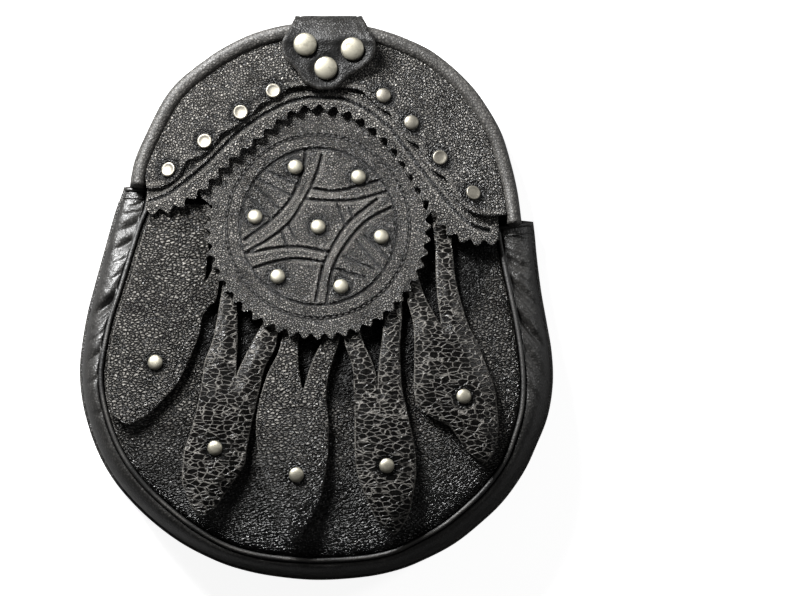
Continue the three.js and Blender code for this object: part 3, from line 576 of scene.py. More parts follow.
def doubled_sheet(outline, step, rims):
    """A scored sheet and its copy, joined round the edge, and which corners are upper."""
    bm = scored_sheet(outline, step, rims)
    made = bmesh.ops.extrude_face_region(bm, geom=bm.faces[:], use_keep_orig=True)
    upper = {v for v in made["geom"] if isinstance(v, bmesh.types.BMVert)}
    verts = bm.verts[:]
    return bm, verts, np.array([v in upper for v in verts])


def rounded_off(inside, rounding):
    """How far the face falls at a rounded edge."""
    return rounding - np.sqrt(
        np.maximum(rounding ** 2 - np.maximum(rounding - inside, 0) ** 2, 0))


def edge_mask(inside, is_upper):
    return np.where(is_upper, np.clip(1 - inside / EDGE_FADE, 0, 1), inside < 0.05)


def leather_sheet(name, outline, top, wall, material, nodes, step,
                  form=None, relief=None, rounding=SHEET_ROUNDING, shade_map=None):
    """Sheet leather: form bends the whole thickness, relief only presses the face, and
    an extra mask adds painted shade, as between the tassels' strands and low down."""
    bm, verts, is_upper = doubled_sheet(outline, step, SHEET_RIMS)
    x, y = plan_of(verts)
    inside = distance_to(x, y, outline)
    z = top(x, y)
    if form:
        z = z + form(x, y, inside)
    pressed = relief(x, y, inside) if relief else np.zeros(len(x))
    heights = np.where(is_upper, z - rounded_off(inside, rounding) + pressed, z - wall)
    # Painted shade in pressed hollows deeper than 0.12 mm: lines and rivet dents
    dark = np.clip((-pressed - 0.12) / 0.5, 0, 1)
    # Extra painted shade given for this sheet
    if shade_map:
        dark = np.maximum(dark, shade_map(x, y))
    for vert, height in zip(verts, heights):
        vert.co.z = height
    write_masks(bm, verts, {
        "edge": edge_mask(inside, is_upper),
        "painted_shade": np.where(is_upper, dark, 0),
        # Raised parts of the relief lightened: rubbing wear and painted highlight
        "ridge": np.where(is_upper, np.clip((pressed - 0.1) / 0.4, 0, 0.42), 0),
    })
    return finish_piece(name, bm, material, nodes)


def swept_skin(columns, rows, shape, tube=False):
    """A skin of columns by rows, laid by shape(u, v), closed along v for a tube."""
    bm = masked_mesh()
    bmesh.ops.create_grid(bm, x_segments=columns, y_segments=rows, size=1)
    verts = bm.verts[:]
    u = np.array([(v.co.x + 1) / 2 for v in verts])
    v = np.array([(v.co.y + 1) / 2 for v in verts])
    for vert, point in zip(verts, shape(u, v)):
        vert.co = point
    if tube:
        bmesh.ops.remove_doubles(bm, verts=bm.verts[:], dist=MERGE_DISTANCE)
        open_edges = [e for e in bm.edges if e.is_boundary]
        bmesh.ops.holes_fill(bm, edges=open_edges, sides=0)
    return bm


def at_share(path, share):
    """Rows of a path at shares of its length."""
    position = np.clip(share, 0, 1) * (len(path) - 1)
    index = np.arange(len(path))
    return np.column_stack([np.interp(position, index, column) for column in path.T])


# Materials

def node(tree, kind, settings=None, **inputs):
    made = tree.nodes.new(kind)
    for key, value in (settings or {}).items():
        setattr(made, key, value)
    for key, value in inputs.items():
        socket = made.inputs[int(key[1:])] if key[1:].isdigit() else made.inputs[
            key.replace("_", " ")]
        if isinstance(value, bpy.types.NodeSocket):
            tree.links.new(value, socket)
        else:
            socket.default_value = value
    return made


def math_node(tree, operation, a, b=0.0):
    return node(tree, "ShaderNodeMath", {"operation": operation}, i0=a, i1=b).outputs[0]


def range_node(tree, value, low, high, new_low=0.0, new_high=1.0):
    return node(
        tree, "ShaderNodeMapRange", {"interpolation_type": "SMOOTHSTEP"},
        Value=value, From_Min=low, From_Max=high, To_Min=new_low, To_Max=new_high,
    ).outputs[0]


def mix_color(tree, factor, a, b):
    return node(
        tree, "ShaderNodeMix", {"data_type": "RGBA"}, i0=factor, i6=a, i7=b).outputs[2]


def noise_node(tree, vector, scale, detail):
    return node(tree, "ShaderNodeTexNoise", Vector=vector, Scale=scale, Detail=detail)


def mapped(tree, vector, scale, turn):
    return node(tree, "ShaderNodeMapping", Vector=vector, Scale=scale,
                Rotation=(0, 0, turn)).outputs[0]


def mask_node(tree, name):
    return node(tree, "ShaderNodeAttribute", {"attribute_name": name}).outputs["Fac"]


def cell_edges(tree, vector, scale):
    return node(tree, "ShaderNodeTexVoronoi", {"feature": "DISTANCE_TO_EDGE"},
                Vector=vector, Scale=scale).outputs["Distance"]


def swayed(tree, vector, scale, detail, reach):
    """The same place pushed about a little, so that no cell has straight edges."""
    push = noise_node(tree, vector, scale, detail).outputs["Color"]
    return node(tree, "ShaderNodeVectorMath", {"operation": "MULTIPLY_ADD"},
                i0=push, i1=(reach, reach, reach), i2=vector).outputs[0]


def new_group(name, numbers, outputs):
    """A group that is given a place and named numbers, and puts out named values."""
    group = bpy.data.node_groups.new(name, "ShaderNodeTree")
    group.interface.new_socket("Vector", in_out="INPUT", socket_type="NodeSocketVector")
    for title, default in numbers.items():
        socket = group.interface.new_socket(
            title, in_out="INPUT", socket_type="NodeSocketFloat")
        socket.default_value = default
    for title in outputs:
        group.interface.new_socket(title, in_out="OUTPUT", socket_type="NodeSocketFloat")
    given = group.nodes.new("NodeGroupInput").outputs
    return group, given, group.nodes.new("NodeGroupOutput").inputs


def grain_group():
    """Domed pebbles with thin creases and a finer grain on top; the creases carry painted
    shade, and the lighter tops rubbing wear and painted highlight.
    """
    group, given, made = new_group(
        "pebble_grain", {"Cells": 800.0, "Crease": 0.14},
        ["Height", "Hollow", "Shade", "WearAndSheen"])
    moved = swayed(group, given["Vector"], scale=420.0, detail=2.0, reach=0.0011)
    cells = cell_edges(group, moved, given["Cells"])
    small = cell_edges(group, moved, math_node(group, "MULTIPLY", given["Cells"], 2.1))
    gap = node(group, "ShaderNodeMapRange", {"interpolation_type": "SMOOTHERSTEP"},
               Value=cells, From_Min=0.0, From_Max=given["Crease"]).outputs[0]
    dome = range_node(group, cells, -0.1, 0.5)
    fine = range_node(group, small, -0.05, 0.4)
    slow = noise_node(group, given["Vector"], scale=95.0, detail=3.0).outputs[0]
    own = node(group, "ShaderNodeTexVoronoi", {"feature": "F1"}, Vector=moved,
               Scale=given["Cells"]).outputs["Color"]
    share = node(group, "ShaderNodeSeparateColor", Color=own).outputs[0]
    speck = range_node(group, share, 0.0, 1.0, 0.6, 1.0)
    crown = range_node(group, cells, 0.04, 0.34)
    patchy = range_node(group, slow, 0.25, 0.6, 0.35, 1.0)
    lumps = math_node(group, "MULTIPLY", range_node(group, slow, 0.3, 0.7), 0.6)
    height = math_node(group, "ADD", dome, math_node(group, "MULTIPLY", fine, 0.18))
    # Lighter pebble tops: rubbing wear and painted highlight
    wear_and_sheen = math_node(group, "MULTIPLY", math_node(group, "MULTIPLY", speck, crown), patchy)
    group.links.new(math_node(group, "ADD", height, lumps), made["Height"])
    group.links.new(math_node(group, "SUBTRACT", 1.0, gap), made["Hollow"])
    group.links.new(slow, made["Shade"])
    group.links.new(wear_and_sheen, made["WearAndSheen"])
    return group


def net_group():
    """Wide flat plates parted by thin raised wrinkles, kept in patches; the leather
    lightens these as rubbing wear and painted highlight.
    """
    group, given, made = new_group("wrinkle_net", {"Cells": 290.0}, ["Line"])
    moved = swayed(group, given["Vector"], scale=240.0, detail=3.0, reach=0.0022)
    cells = cell_edges(group, moved, given["Cells"])
    patch = noise_node(group, given["Vector"], scale=210.0, detail=3.0).outputs[0]
    line = range_node(group, cells, 0.01, 0.13, 1.0, 0.0)
    kept = range_node(group, patch, 0.3, 0.6, 0.15, 1.0)
    group.links.new(math_node(group, "MULTIPLY", line, kept), made["Line"])
    return group


def wear_group():
    """Pale rubbed edges, from the edge attribute of cut leather."""
    group, given, made = new_group("edge_wear", {"Amount": 0.6}, ["Wear"])
    patch = noise_node(group, given["Vector"], scale=260.0, detail=3.0).outputs[0]
    edge = range_node(group, mask_node(group, "edge"), 0.35, 1.0)
    worn = math_node(group, "MULTIPLY", edge, range_node(group, patch, 0.3, 0.62))
    group.links.new(math_node(group, "MULTIPLY", worn, given["Amount"]), made["Wear"])
    return group


grain = grain_group()
net = net_group()
wear = wear_group()


def new_material(name):
    """A material, its tree, the sockets of its shader and the place on the pouch."""
    material = bpy.data.materials.new(name)
    material.use_nodes = True
    tree = material.node_tree
    where = node(tree, "ShaderNodeTexCoord").outputs["Object"]
    return material, tree, tree.nodes["Principled BSDF"].inputs, where


def add_bump(tree, shader, height, distance, strength):
    bump = node(tree, "ShaderNodeBump", Strength=strength, Distance=distance, Height=height)
    tree.links.new(bump.outputs[0], shader["Normal"])


def gray(value):
    """The warm gray of black leather."""
    return (value, value * 0.95, value * 0.87, 1)


# Painted shade: the near-black of creases, pressed hollows and shaded places
PAINTED_SHADE_GRAY = gray(0.0008)
WORN_GRAY = gray(0.13)
RIDGE_WEAR_AND_SHEEN_GRAY = gray(0.16)
WRINKLE_WEAR_AND_SHEEN_GRAY = gray(0.17)
EVEN_GRAIN = (1, 1, 1)
SLANTED_GRAIN = (1.0, 1.55, 1.0)
PLATE_STRETCH = (1, 2.0, 1)
PLATE_TURN = 0.12
PLATE_CELLS = 310.0
PLATE_GRAIN = 0.09


def leather(name, shade, cells, depth, rough, crease=0.14, wear_and_sheen=0.03, stretch=EVEN_GRAIN,
            turn=0.0, wear_amount=0.3, wrinkled=False, shine=0.55):
    """Black leather with its own size of grain."""
    material, tree, shader, where = new_material(name)
    pebbles = node(tree, "ShaderNodeGroup", {"node_tree": grain}, Cells=cells, Crease=crease,
                   Vector=mapped(tree, where, stretch, turn)).outputs
    worn = node(tree, "ShaderNodeGroup", {"node_tree": wear}, Vector=where,
                Amount=wear_amount).outputs["Wear"]
    painted_shade = mask_node(tree, "painted_shade")
    height = pebbles["Height"]
    mottled = range_node(tree, pebbles["Shade"], 0.25, 0.75)
    color = mix_color(tree, mottled, gray(shade), gray(shade * 1.4))
    # Pebble tops lightened towards the given gray: rubbing wear and painted highlight
    color = mix_color(tree, pebbles["WearAndSheen"], color, gray(wear_and_sheen))
    # Painted shade in the creases between the pebbles
    color = mix_color(tree, pebbles["Hollow"], color, PAINTED_SHADE_GRAY)
    if wrinkled:
        plates = mapped(tree, where, PLATE_STRETCH, PLATE_TURN)
        line = node(tree, "ShaderNodeGroup", {"node_tree": net}, Vector=plates,
                    Cells=PLATE_CELLS).outputs["Line"]
        # Lighter wrinkles: rubbing wear and painted highlight
        color = mix_color(tree, math_node(tree, "MULTIPLY", line, 0.85), color, WRINKLE_WEAR_AND_SHEEN_GRAY)
        height = math_node(tree, "ADD", math_node(tree, "MULTIPLY", height, PLATE_GRAIN), line)
    color = mix_color(tree, worn, color, WORN_GRAY)
    # Painted shade where the mask is set: pressed hollows, and shaded places on the front and
    # tassels
    color = mix_color(tree, range_node(tree, painted_shade, 0.05, 0.6), color, PAINTED_SHADE_GRAY)
    # Lighter ridges: rubbing wear and painted highlight
    color = mix_color(tree, mask_node(tree, "ridge"), color, RIDGE_WEAR_AND_SHEEN_GRAY)
    tree.links.new(color, shader["Base Color"])
    gloss = range_node(tree, pebbles["Shade"], 0.3, 0.7, rough, rough + 0.1)
    dull = math_node(tree, "ADD", math_node(tree, "MULTIPLY", pebbles["Hollow"], 0.04),
                     math_node(tree, "MULTIPLY", painted_shade, 0.1))
    tree.links.new(math_node(tree, "ADD", gloss, dull), shader["Roughness"])
    add_bump(tree, shader, height, distance=depth, strength=1.0)
    shader["Specular IOR Level"].default_value = shine
    return material


def metal(name, color, rough):
    """Nickelled cap with hairline scratches and a little tarnish."""
    material, tree, shader, where = new_material(name)
    drawn = mapped(tree, where, scale=(1, 9, 1), turn=0.6)
    lines = noise_node(tree, drawn, scale=900.0, detail=2.0).outputs[0]
    tarnish = noise_node(tree, where, scale=420.0, detail=4.0).outputs[0]
    stained = range_node(tree, tarnish, 0.5, 0.75)
    dark = [c * 0.62 for c in color]
    tree.links.new(mix_color(tree, stained, (*color, 1), (*dark, 1)), shader["Base Color"])
    gloss = math_node(tree, "ADD", math_node(tree, "MULTIPLY", stained, 0.16),
                      range_node(tree, lines, 0.3, 0.7, rough, rough + 0.1))
    tree.links.new(gloss, shader["Roughness"])
    add_bump(tree, shader, lines, distance=0.00006, strength=0.25)
    shader["Metallic"].default_value = 1.0
    return material


def waxed_thread():
    """Waxed black thread, twisted."""
    material, tree, shader, where = new_material("thread")
    twist = noise_node(tree, where, scale=5200.0, detail=2.0).outputs[0]
    dark, pale = (0.012, 0.011, 0.010, 1), (0.06, 0.057, 0.052, 1)
    tree.links.new(mix_color(tree, twist, dark, pale), shader["Base Color"])
    tree.links.new(range_node(tree, twist, 0.3, 0.7, 0.45, 0.65), shader["Roughness"])
    add_bump(tree, shader, twist, distance=0.0001, strength=0.5)
    return material


# Pebble tops: rubbing wear and painted highlight, lightest on cantle, trim and medallion
front_leather = leather(
    "front_leather", shade=0.003, cells=660.0, depth=0.0010, rough=0.22, crease=0.2,
    wear_and_sheen=0.15, stretch=SLANTED_GRAIN, turn=0.65, wear_amount=0.6, shine=0.34)
cantle_leather = leather(
    "cantle_leather", shade=0.012, cells=1050.0, depth=0.0007, rough=0.26, crease=0.3,
    wear_and_sheen=0.31)
trim_leather = leather(
    "trim_leather", shade=0.012, cells=1100.0, depth=0.0007, rough=0.26, crease=0.3,
    wear_and_sheen=0.35)
tab_leather = leather(
    "tab_leather", shade=0.006, cells=1100.0, depth=0.00009, rough=0.34, wear_and_sheen=0.035,
    shine=0.3)
stamped_leather = leather(
    "stamped_leather", shade=0.008, cells=1250.0, depth=0.0005, rough=0.26, crease=0.3,
    wear_and_sheen=0.27)
coarse_leather = leather(
    "coarse_leather", shade=0.0015, cells=900.0, depth=0.0006, rough=0.22, crease=0.08,
    wear_and_sheen=0.008, wear_amount=0.9, wrinkled=True, shine=0.2)
tassel_leather = leather(
    "tassel_leather", shade=0.003, cells=660.0, depth=0.0009, rough=0.22, crease=0.2,
    wear_and_sheen=0.22, stretch=SLANTED_GRAIN, turn=0.5, wear_amount=0.9, shine=0.36)
soft_leather = leather(
    "soft_leather", shade=0.008, cells=900.0, depth=0.00009, rough=0.38, crease=0.06,
    wear_amount=0.7)
roll_leather = leather(
    "roll_leather", shade=0.03, cells=900.0, depth=0.00012, rough=0.48, crease=0.08,
    wear_and_sheen=0.1)
bead_leather = leather(
    "bead_leather", shade=0.002, cells=900.0, depth=0.00008, rough=0.48, wear_and_sheen=0.004)
back_leather = leather("back_leather", shade=0.011, cells=1100.0, depth=0.0002, rough=0.44)
nickel = metal("nickel", (0.36, 0.342, 0.28), rough=0.5)
dull_nickel = metal("dull_nickel", (0.24, 0.225, 0.19), rough=0.46)
thread = waxed_thread()


# Pocket

def make_back():
    rim = seam_path + seam_normals * (seam_rows[:, 2] * GUSSET_REACH)[:, None]
    under_roll = offset_path(arch_path, -(ROLL_WIDTH + CLEARANCE - BACK_TUCK))
    outline = np.vstack([rim[::2], under_roll[::-2]])
    return leather_sheet(
        "back_sheet", outline, lambda x, y: back_under(x, y) + BACK_WALL, BACK_WALL,
        back_leather, ["back_panel"], step=2.6)


def fold_depth(table, sign, up, out):
    total = np.zeros(len(up))
    for side_sign, seam_up, edge_up, depth, width in table:
        centre = seam_up + (edge_up - seam_up) * out
        away = (up - centre) / width
        sharp = np.exp(-np.abs(away) ** 1.3 * np.where(away > 0, 2.2, 0.9))
        amount = depth * sharp * np.sin(np.pi * np.clip(out, 0, 1) ** 0.5)
        total += np.where(sign == side_sign, amount, 0)
    return total * GUSSET_FOLD


SKIN_ALLOWANCE = 0.2
GUSSET_COLUMNS = 640
GUSSET_ROWS = 30
gusset_profile = curve_through(GUSSET_PROFILE, 60)


def gusset_surface(u, v):
    rows = at_share(seam_rows, u)
    outward = at_share(seam_normals, u)
    outward /= np.linalg.norm(outward, axis=1)[:, None]
    section = at_share(gusset_profile, v)
    out, down = section[:, 0], section[:, 1]
    point_x, point_y, reach = rows[:, 0], rows[:, 1], rows[:, 2] * GUSSET_REACH
    start = PIPING_WIDTH / 2 + CLEARANCE
    end = reach - BACK_EDGE
    up = point_y / POUCH_HEIGHT
    fold = fold_depth(GUSSET_FOLDS, np.sign(point_x), up, out)
    crease = fold_depth(GUSSET_CREASES, np.sign(point_x), up, out) * 1.5
    across = start + (end - start) * out - (fold + crease) * 0.5
    top = front_top(point_x, point_y)
    floor = rest_height(point_y) + BACK_WALL + CLEARANCE
    x = point_x + outward[:, 0] * across
    y = point_y + outward[:, 1] * across
    uneven = swells(x, y, GUSSET_SWELLS)
    slant = np.sign(point_x) * 0.45
    slanted = slack(x * 0.3 + y * slant, y * 0.9 - x * slant * 2, size=2.6, seed=9.0)
    uneven += slanted * 0.3 * smoothstep(up, 0.3, 0.45)
    z = top + (floor - top) * down - (fold + crease) * (1 - down)
    z += uneven * np.sin(np.pi * v) - 0.5 * np.exp(-v / 0.05)
    return np.column_stack([x, y, np.maximum(z, floor)])


def make_gusset():
    bm = swept_skin(GUSSET_COLUMNS, GUSSET_ROWS, gusset_surface)
    piece = finish_piece("gusset_skin", bm, soft_leather, ["gusset"])
    wall = piece.modifiers.new("wall", "SOLIDIFY")
    wall.thickness = (GUSSET_WALL - SKIN_ALLOWANCE) * MM
    wall.offset = -1
    return piece


# What runs along a hem: radius, distance from the gusset's end, how far it laps inwards
HEM_PARTS = [("hem", 0.8, 0.8, 1.3), ("hem_seam", 0.35, 4.0, 0.0)]
HEM_REACH = 0.86
HEM_STEPS = 40
HEM_COLUMNS = 60
HEM_SIDES = 12


def make_hems():
    """The turned top edges of the gusset, and the seam that holds each one down."""
    across = np.linspace(0.0, HEM_REACH, HEM_STEPS)
    for side_name, share in (("left", 0.0), ("right", 1.0)):
        for part, radius, step, lap in HEM_PARTS:
            row = np.full(HEM_STEPS, abs(share - step / length_of(seam_path)))
            line = gusset_surface(row, across)
            following = gusset_surface(np.abs(row - 0.01), across)
            along_seam = (line - following)[HEM_STEPS // 2]
            along_seam /= np.linalg.norm(along_seam)
            if lap:
                inward = (line[0] - line[6]) * (1, 1, 0) * lap
                line = np.vstack([line[:1] + inward, line])
            normal = np.cross(np.gradient(line, axis=0), along_seam)
            normal /= np.linalg.norm(normal, axis=1)[:, None]

            def shape(u, v):
                angle = 2 * np.pi * v[:, None]
                around = np.cos(angle) * along_seam + np.sin(angle) * at_share(normal, u)
                return at_share(line, u) + around * radius

            bm = swept_skin(HEM_COLUMNS, HEM_SIDES, shape, tube=True)
            finish_piece(f"{part}_{side_name}", bm, soft_leather)


def tube_along(path, middle, half_across, half_height, sides=14, squareness=1.0):
    """A tube round a plan path. The half sizes and the middle height follow the path."""
    normals = path_normals(path)

    def shape(u, v):
        point = at_share(path[:, :2], u)
        outward = at_share(normals, u)
        angle = 2 * np.pi * v
        cosine, sine = np.cos(angle), np.sin(angle)
        across = half_across * np.sign(cosine) * np.abs(cosine) ** squareness
        height = np.sign(sine) * np.abs(sine) ** squareness
        z = middle(*point.T) + height * half_height(*point.T)
        return np.column_stack([point + outward * across[:, None], z])

    return swept_skin(len(path) - 1, sides, shape, tube=True)


def make_piping():
    bm = tube_along(
        seam_rows,
        lambda x, y: front_top(x, y) - PIPING_WIDTH * 0.1,
        PIPING_WIDTH / 2,
        lambda x, y: PIPING_WIDTH / 2 + 0 * x,
    )
    verts = bm.verts[:]
    x, y = plan_of(verts)
    # A pale line along the bead's inner side, low down: worn edge and painted highlight
    wear_and_sheen = smoothstep(slack(x, y, size=14, seed=21.0), -0.5, 0.2)
    inner = hill(distance_to(x, y, seam_path, closed=False), 0.35)
    low = 1 - smoothstep(y, 75, 135)
    write_masks(bm, verts, {"ridge": inner * wear_and_sheen * low * 0.35})
    return finish_piece("piping_bead", bm, bead_leather, ["piping"])


# How far the roll's ends run on over the hems, and its section
ROLL_OVER_LEFT = 1.9
ROLL_OVER_RIGHT = 2.4
ROLL_SQUARENESS = 0.85
ROLL_STEPS = 320
ROLL_SIDES = 28


def make_roll():
    path = offset_path(arch_path, -ROLL_WIDTH / 2)
    left_end = path[0] + (path[0] - path[4]) * ROLL_OVER_LEFT
    right_end = path[-1] + (path[-1] - path[-5]) * ROLL_OVER_RIGHT
    path = curve_through(np.vstack([left_end, path[::6], right_end]), ROLL_STEPS)

    def low(x, y):
        return rest_height(y) + CLEARANCE / 2 + BACK_WALL * tucked(x, y)

    def tucked(x, y):
        hem = np.where(x < 0, seam_path[0][1], seam_path[-1][1])
        return 1 - smoothstep(y - hem, -1.5, 1.5)

    def high(x, y):
        under = tucked(x, y)
        beneath = front_top(x, y) - GUSSET_WALL - 1.2
        return (cantle_top(x, y) + ROLL_PROUD) * (1 - under) + beneath * under

    bm = tube_along(
        path,
        lambda x, y: (low(x, y) + high(x, y)) / 2,
        ROLL_WIDTH / 2,
        lambda x, y: (high(x, y) - low(x, y)) / 2,
        sides=ROLL_SIDES,
        squareness=ROLL_SQUARENESS,
    )
    verts = bm.verts[:]
    x, y = plan_of(verts)
    for vert, amount in zip(verts, swells(x, y, ROLL_SWELLS)):
        vert.co.z += amount
    return finish_piece("edge_roll_skin", bm, roll_leather, ["edge_roll"])


def painted_low_shade(x, y):
    """Painted shade low down, where the leather slopes away from the light."""
    high = measured((0, LOW_SHADE_FROM_ROW))[1]
    low = measured((0, LOW_SHADE_TO_ROW))[1]
    return 0.5 * smoothstep(high - y, 0, high - low)


def make_front():
    edge = offset_path(seam_rows, PIPING_WIDTH / 2 + CLEARANCE)
    outline = np.vstack([edge[::3], [place(row) for row in MOUTH_SECTIONS]])

    def form(x, y, inside):
        pull = swells(x, y, FRONT_SWELLS)
        away = from_medallion(x, y) - MEDALLION_RADIUS
        pull -= 1.6 * hill(away - 3, 9)
        return pull * smoothstep(inside, 2, 12) - 0.9 * np.exp(-inside / 1.6)

    # Painted shadow on the front between the strands of the tassels, and painted shade low down
    def shade_map(x, y):
        away = from_medallion(x, y) - MEDALLION_RADIUS
        shade_between_strands = 0.95 * (1 - smoothstep(away, 14, 32))
        return np.maximum(shade_between_strands, painted_low_shade(x, y))

    return leather_sheet("front_sheet", outline, front_top, PANEL_WALL, front_leather,
                         ["front_panel"], step=1.5, form=form, shade_map=shade_map)


# Tassels

def joined_runs(runs, pitch=1.2):
    outline = []
    for run in runs:
        points = [place(point) for point in run]
        count = max(2, round(length_of(points) / pitch))
        outline.append(curve_through(points, count))
    return np.vstack(outline)


def rivet_dents(spots, radius, depth=0.4):
    def dents(x, y, inside):
        total = np.zeros(len(x))
        for spot in spots:
            away = np.hypot(x - spot[0], y - spot[1])
            total -= depth * np.exp(-(away / (radius + 0.9)) ** 4)
            total -= depth * 0.4 * hill(away - radius - 0.3, 0.45)
            total -= depth * 1.3 * hill(away, radius + 2.2)
        return total
    return dents


def make_tassel(number, rows):
    outline = joined_runs(rows["runs"])
    spot = place(rows["rivet"])
    dents = rivet_dents([spot], RIVET_RADIUS)
    wrinkled = rows["wrinkled"]

    def form(x, y, inside):
        away = from_medallion(x, y)
        free = smoothstep(away, MEDALLION_RADIUS + 1.2, MEDALLION_RADIUS + 16)
        belly = 1.0 + 1.3 * smoothstep(inside, 0, 6) + 0.7 * slack(x, y, 12, number * 3.1)
        tip = smoothstep(spot[1] - y, 8, 28) * 0.5
        return free * (belly + tip)

    # The smooth tassels get the painted shade low down as well
    return leather_sheet(
        f"tassel_{number}_sheet", outline, tassel_top, TASSEL_WALL,
        coarse_leather if wrinkled else tassel_leather, [f"tassel_{number}"],
        step=0.9, form=form, relief=dents, shade_map=None if wrinkled else painted_low_shade)


# Medallion

def stud_spots():
    spots = [medallion_centre]
    radius = MEDALLION_RADIUS * STUD_RING
    for k in range(STUD_COUNT):
        angle = math.radians(STUD_TURN + 360 / STUD_COUNT * k)
        spots.append(medallion_centre + radius * np.array((math.cos(angle), math.sin(angle))))
    return spots


def pressed_line(distance, width, depth):
    return -depth * hill(distance, width)


def rounded_teeth(turns):
    """Pinked edge from -0.5 to 0.5: blunt tips with round notches between them."""
    wave = np.cos(2 * np.pi * turns)
    return 0.5 * np.sign(wave) * np.abs(wave) ** 0.75


def make_medallion():
    teeth = round(2 * math.pi * MEDALLION_RADIUS / TOOTH_PITCH)
    angle = np.linspace(0, 2 * math.pi, teeth * TOOTH_STEPS, endpoint=False)
    wave = rounded_teeth(angle * teeth / (2 * math.pi))
    under_trim = (smoothstep(angle, *np.radians(UNDER_TRIM_RIGHT))
                  * (1 - smoothstep(angle, *np.radians(UNDER_TRIM_LEFT))))
    radius = (MEDALLION_RADIUS + wave * TOOTH_DEPTH * (1 - under_trim)
              + UNDER_TRIM * under_trim)
    outline = medallion_centre + radius[:, None] * np.column_stack(
        [np.cos(angle), np.sin(angle)])
    dents = rivet_dents(stud_spots(), RIVET_RADIUS, depth=0.42)
    bands, bars = (
        [curve_through([measured(p) for p in line], 24) for line in lines]
        for lines in (INTERLACE_BANDS, INTERLACE_BARS))

    def relief(x, y, inside):
        away = from_medallion(x, y)
        total = pressed_line(away - INNER_CIRCLE, 0.46, PRESSED_DEPTH)
        total += pressed_line(away - OUTER_CIRCLE, 0.5, PRESSED_DEPTH)
        for line in bands:
            near = distance_to(x, y, line, closed=False)
            total += pressed_line(near, 0.48, PRESSED_DEPTH)
            total += 0.28 * hill(near - 1.1, 0.7)
        for line in bars:
            near = distance_to(x, y, line, closed=False)
            total += pressed_line(near, 0.48, PRESSED_DEPTH)
        return np.maximum(total, -PRESSED_DEPTH) + dents(x, y, inside)

    def form(x, y, inside):
        return swells(x, y, MEDALLION_SWELLS) * smoothstep(inside, 0, 5)

    return leather_sheet("medallion_sheet", outline, medallion_top, MEDALLION_WALL,
                         stamped_leather, ["medallion"], step=0.38, form=form,
                         relief=relief, rounding=STAMPED_ROUNDING)


# Flap

def inside_front(points, gap):
    """Pulls points that pass the roll's inner edge back inside it."""
    kept = []
    for point in points:
        near = np.argmin(np.hypot(*(arch_inner - point).T))
        normal = path_normals(arch_inner)[near]
        over = (point - arch_inner[near]) @ normal
        kept.append(point - normal * (over + gap) if over > -gap else point)
    return np.array(kept)


def make_trim():
    line = curve_through([place(row) for row in TRIM_SECTIONS], 400)
    teeth = round(length_of(line) / TRIM_TOOTH_PITCH)
    edge = curve_through([place(row) for row in TRIM_SECTIONS], teeth * TOOTH_STEPS)
    wave = rounded_teeth(np.arange(len(edge)) / TOOTH_STEPS)
    pinked = edge + path_normals(edge) * wave[:, None] * TOOTH_DEPTH
    hidden = inside_front(offset_path(line[::16], TRIM_BAND), TRIM_GAP)
    outline = np.vstack([inside_front(pinked, TRIM_GAP), hidden[::-1]])
    stitches = curve_through([measured(p) for p in TRIM_LINE], 120)

    def relief(x, y, inside):
        near = distance_to(x, y, stitches, closed=False)
        return pressed_line(near, 0.5, 1.0) + 0.26 * hill(near - 1.3, 0.6)

    def form(x, y, inside):
        near = distance_to(x, y, line, closed=False)
        pull = swells(x, y, TRIM_SWELLS) * smoothstep(inside, -2, 4)
        return pull + 1.1 * np.exp(-near / 3)

    return leather_sheet("trim_sheet", outline, trim_top, TRIM_WALL, trim_leather,
                         ["flap_trim"], step=0.42, form=form, relief=relief,
                         rounding=STAMPED_ROUNDING)


def make_cantle():
    rim = offset_path(arch_path, -(ROLL_WIDTH + CLEARANCE - CANTLE_TUCK))
    wave = curve_through([measured(p) for p in CANTLE_WAVE], 260)
    wave = inside_front(wave, CLEARANCE)
    outline = np.vstack([wave, rim[4::3][::-1]])
    spots = [place(row) for row in CANTLE_RIVETS]
    dents = rivet_dents(spots, RIVET_RADIUS, depth=0.45)

    def relief(x, y, inside):
        near = distance_to(x, y, wave, closed=False)
        lip = 0.35 * hill(near - 1.1, 0.8) - 0.2 * hill(near - 3.0, 1)
        return dents(x, y, inside) + lip

    def form(x, y, inside):
        return swells(x, y, CANTLE_SWELLS) * smoothstep(inside, 0, 6)

    return leather_sheet("cantle_sheet", outline, cantle_top, CANTLE_WALL, cantle_leather,
                         ["cantle"], step=1.0, form=form, relief=relief)


# Hanger tab and strap loop

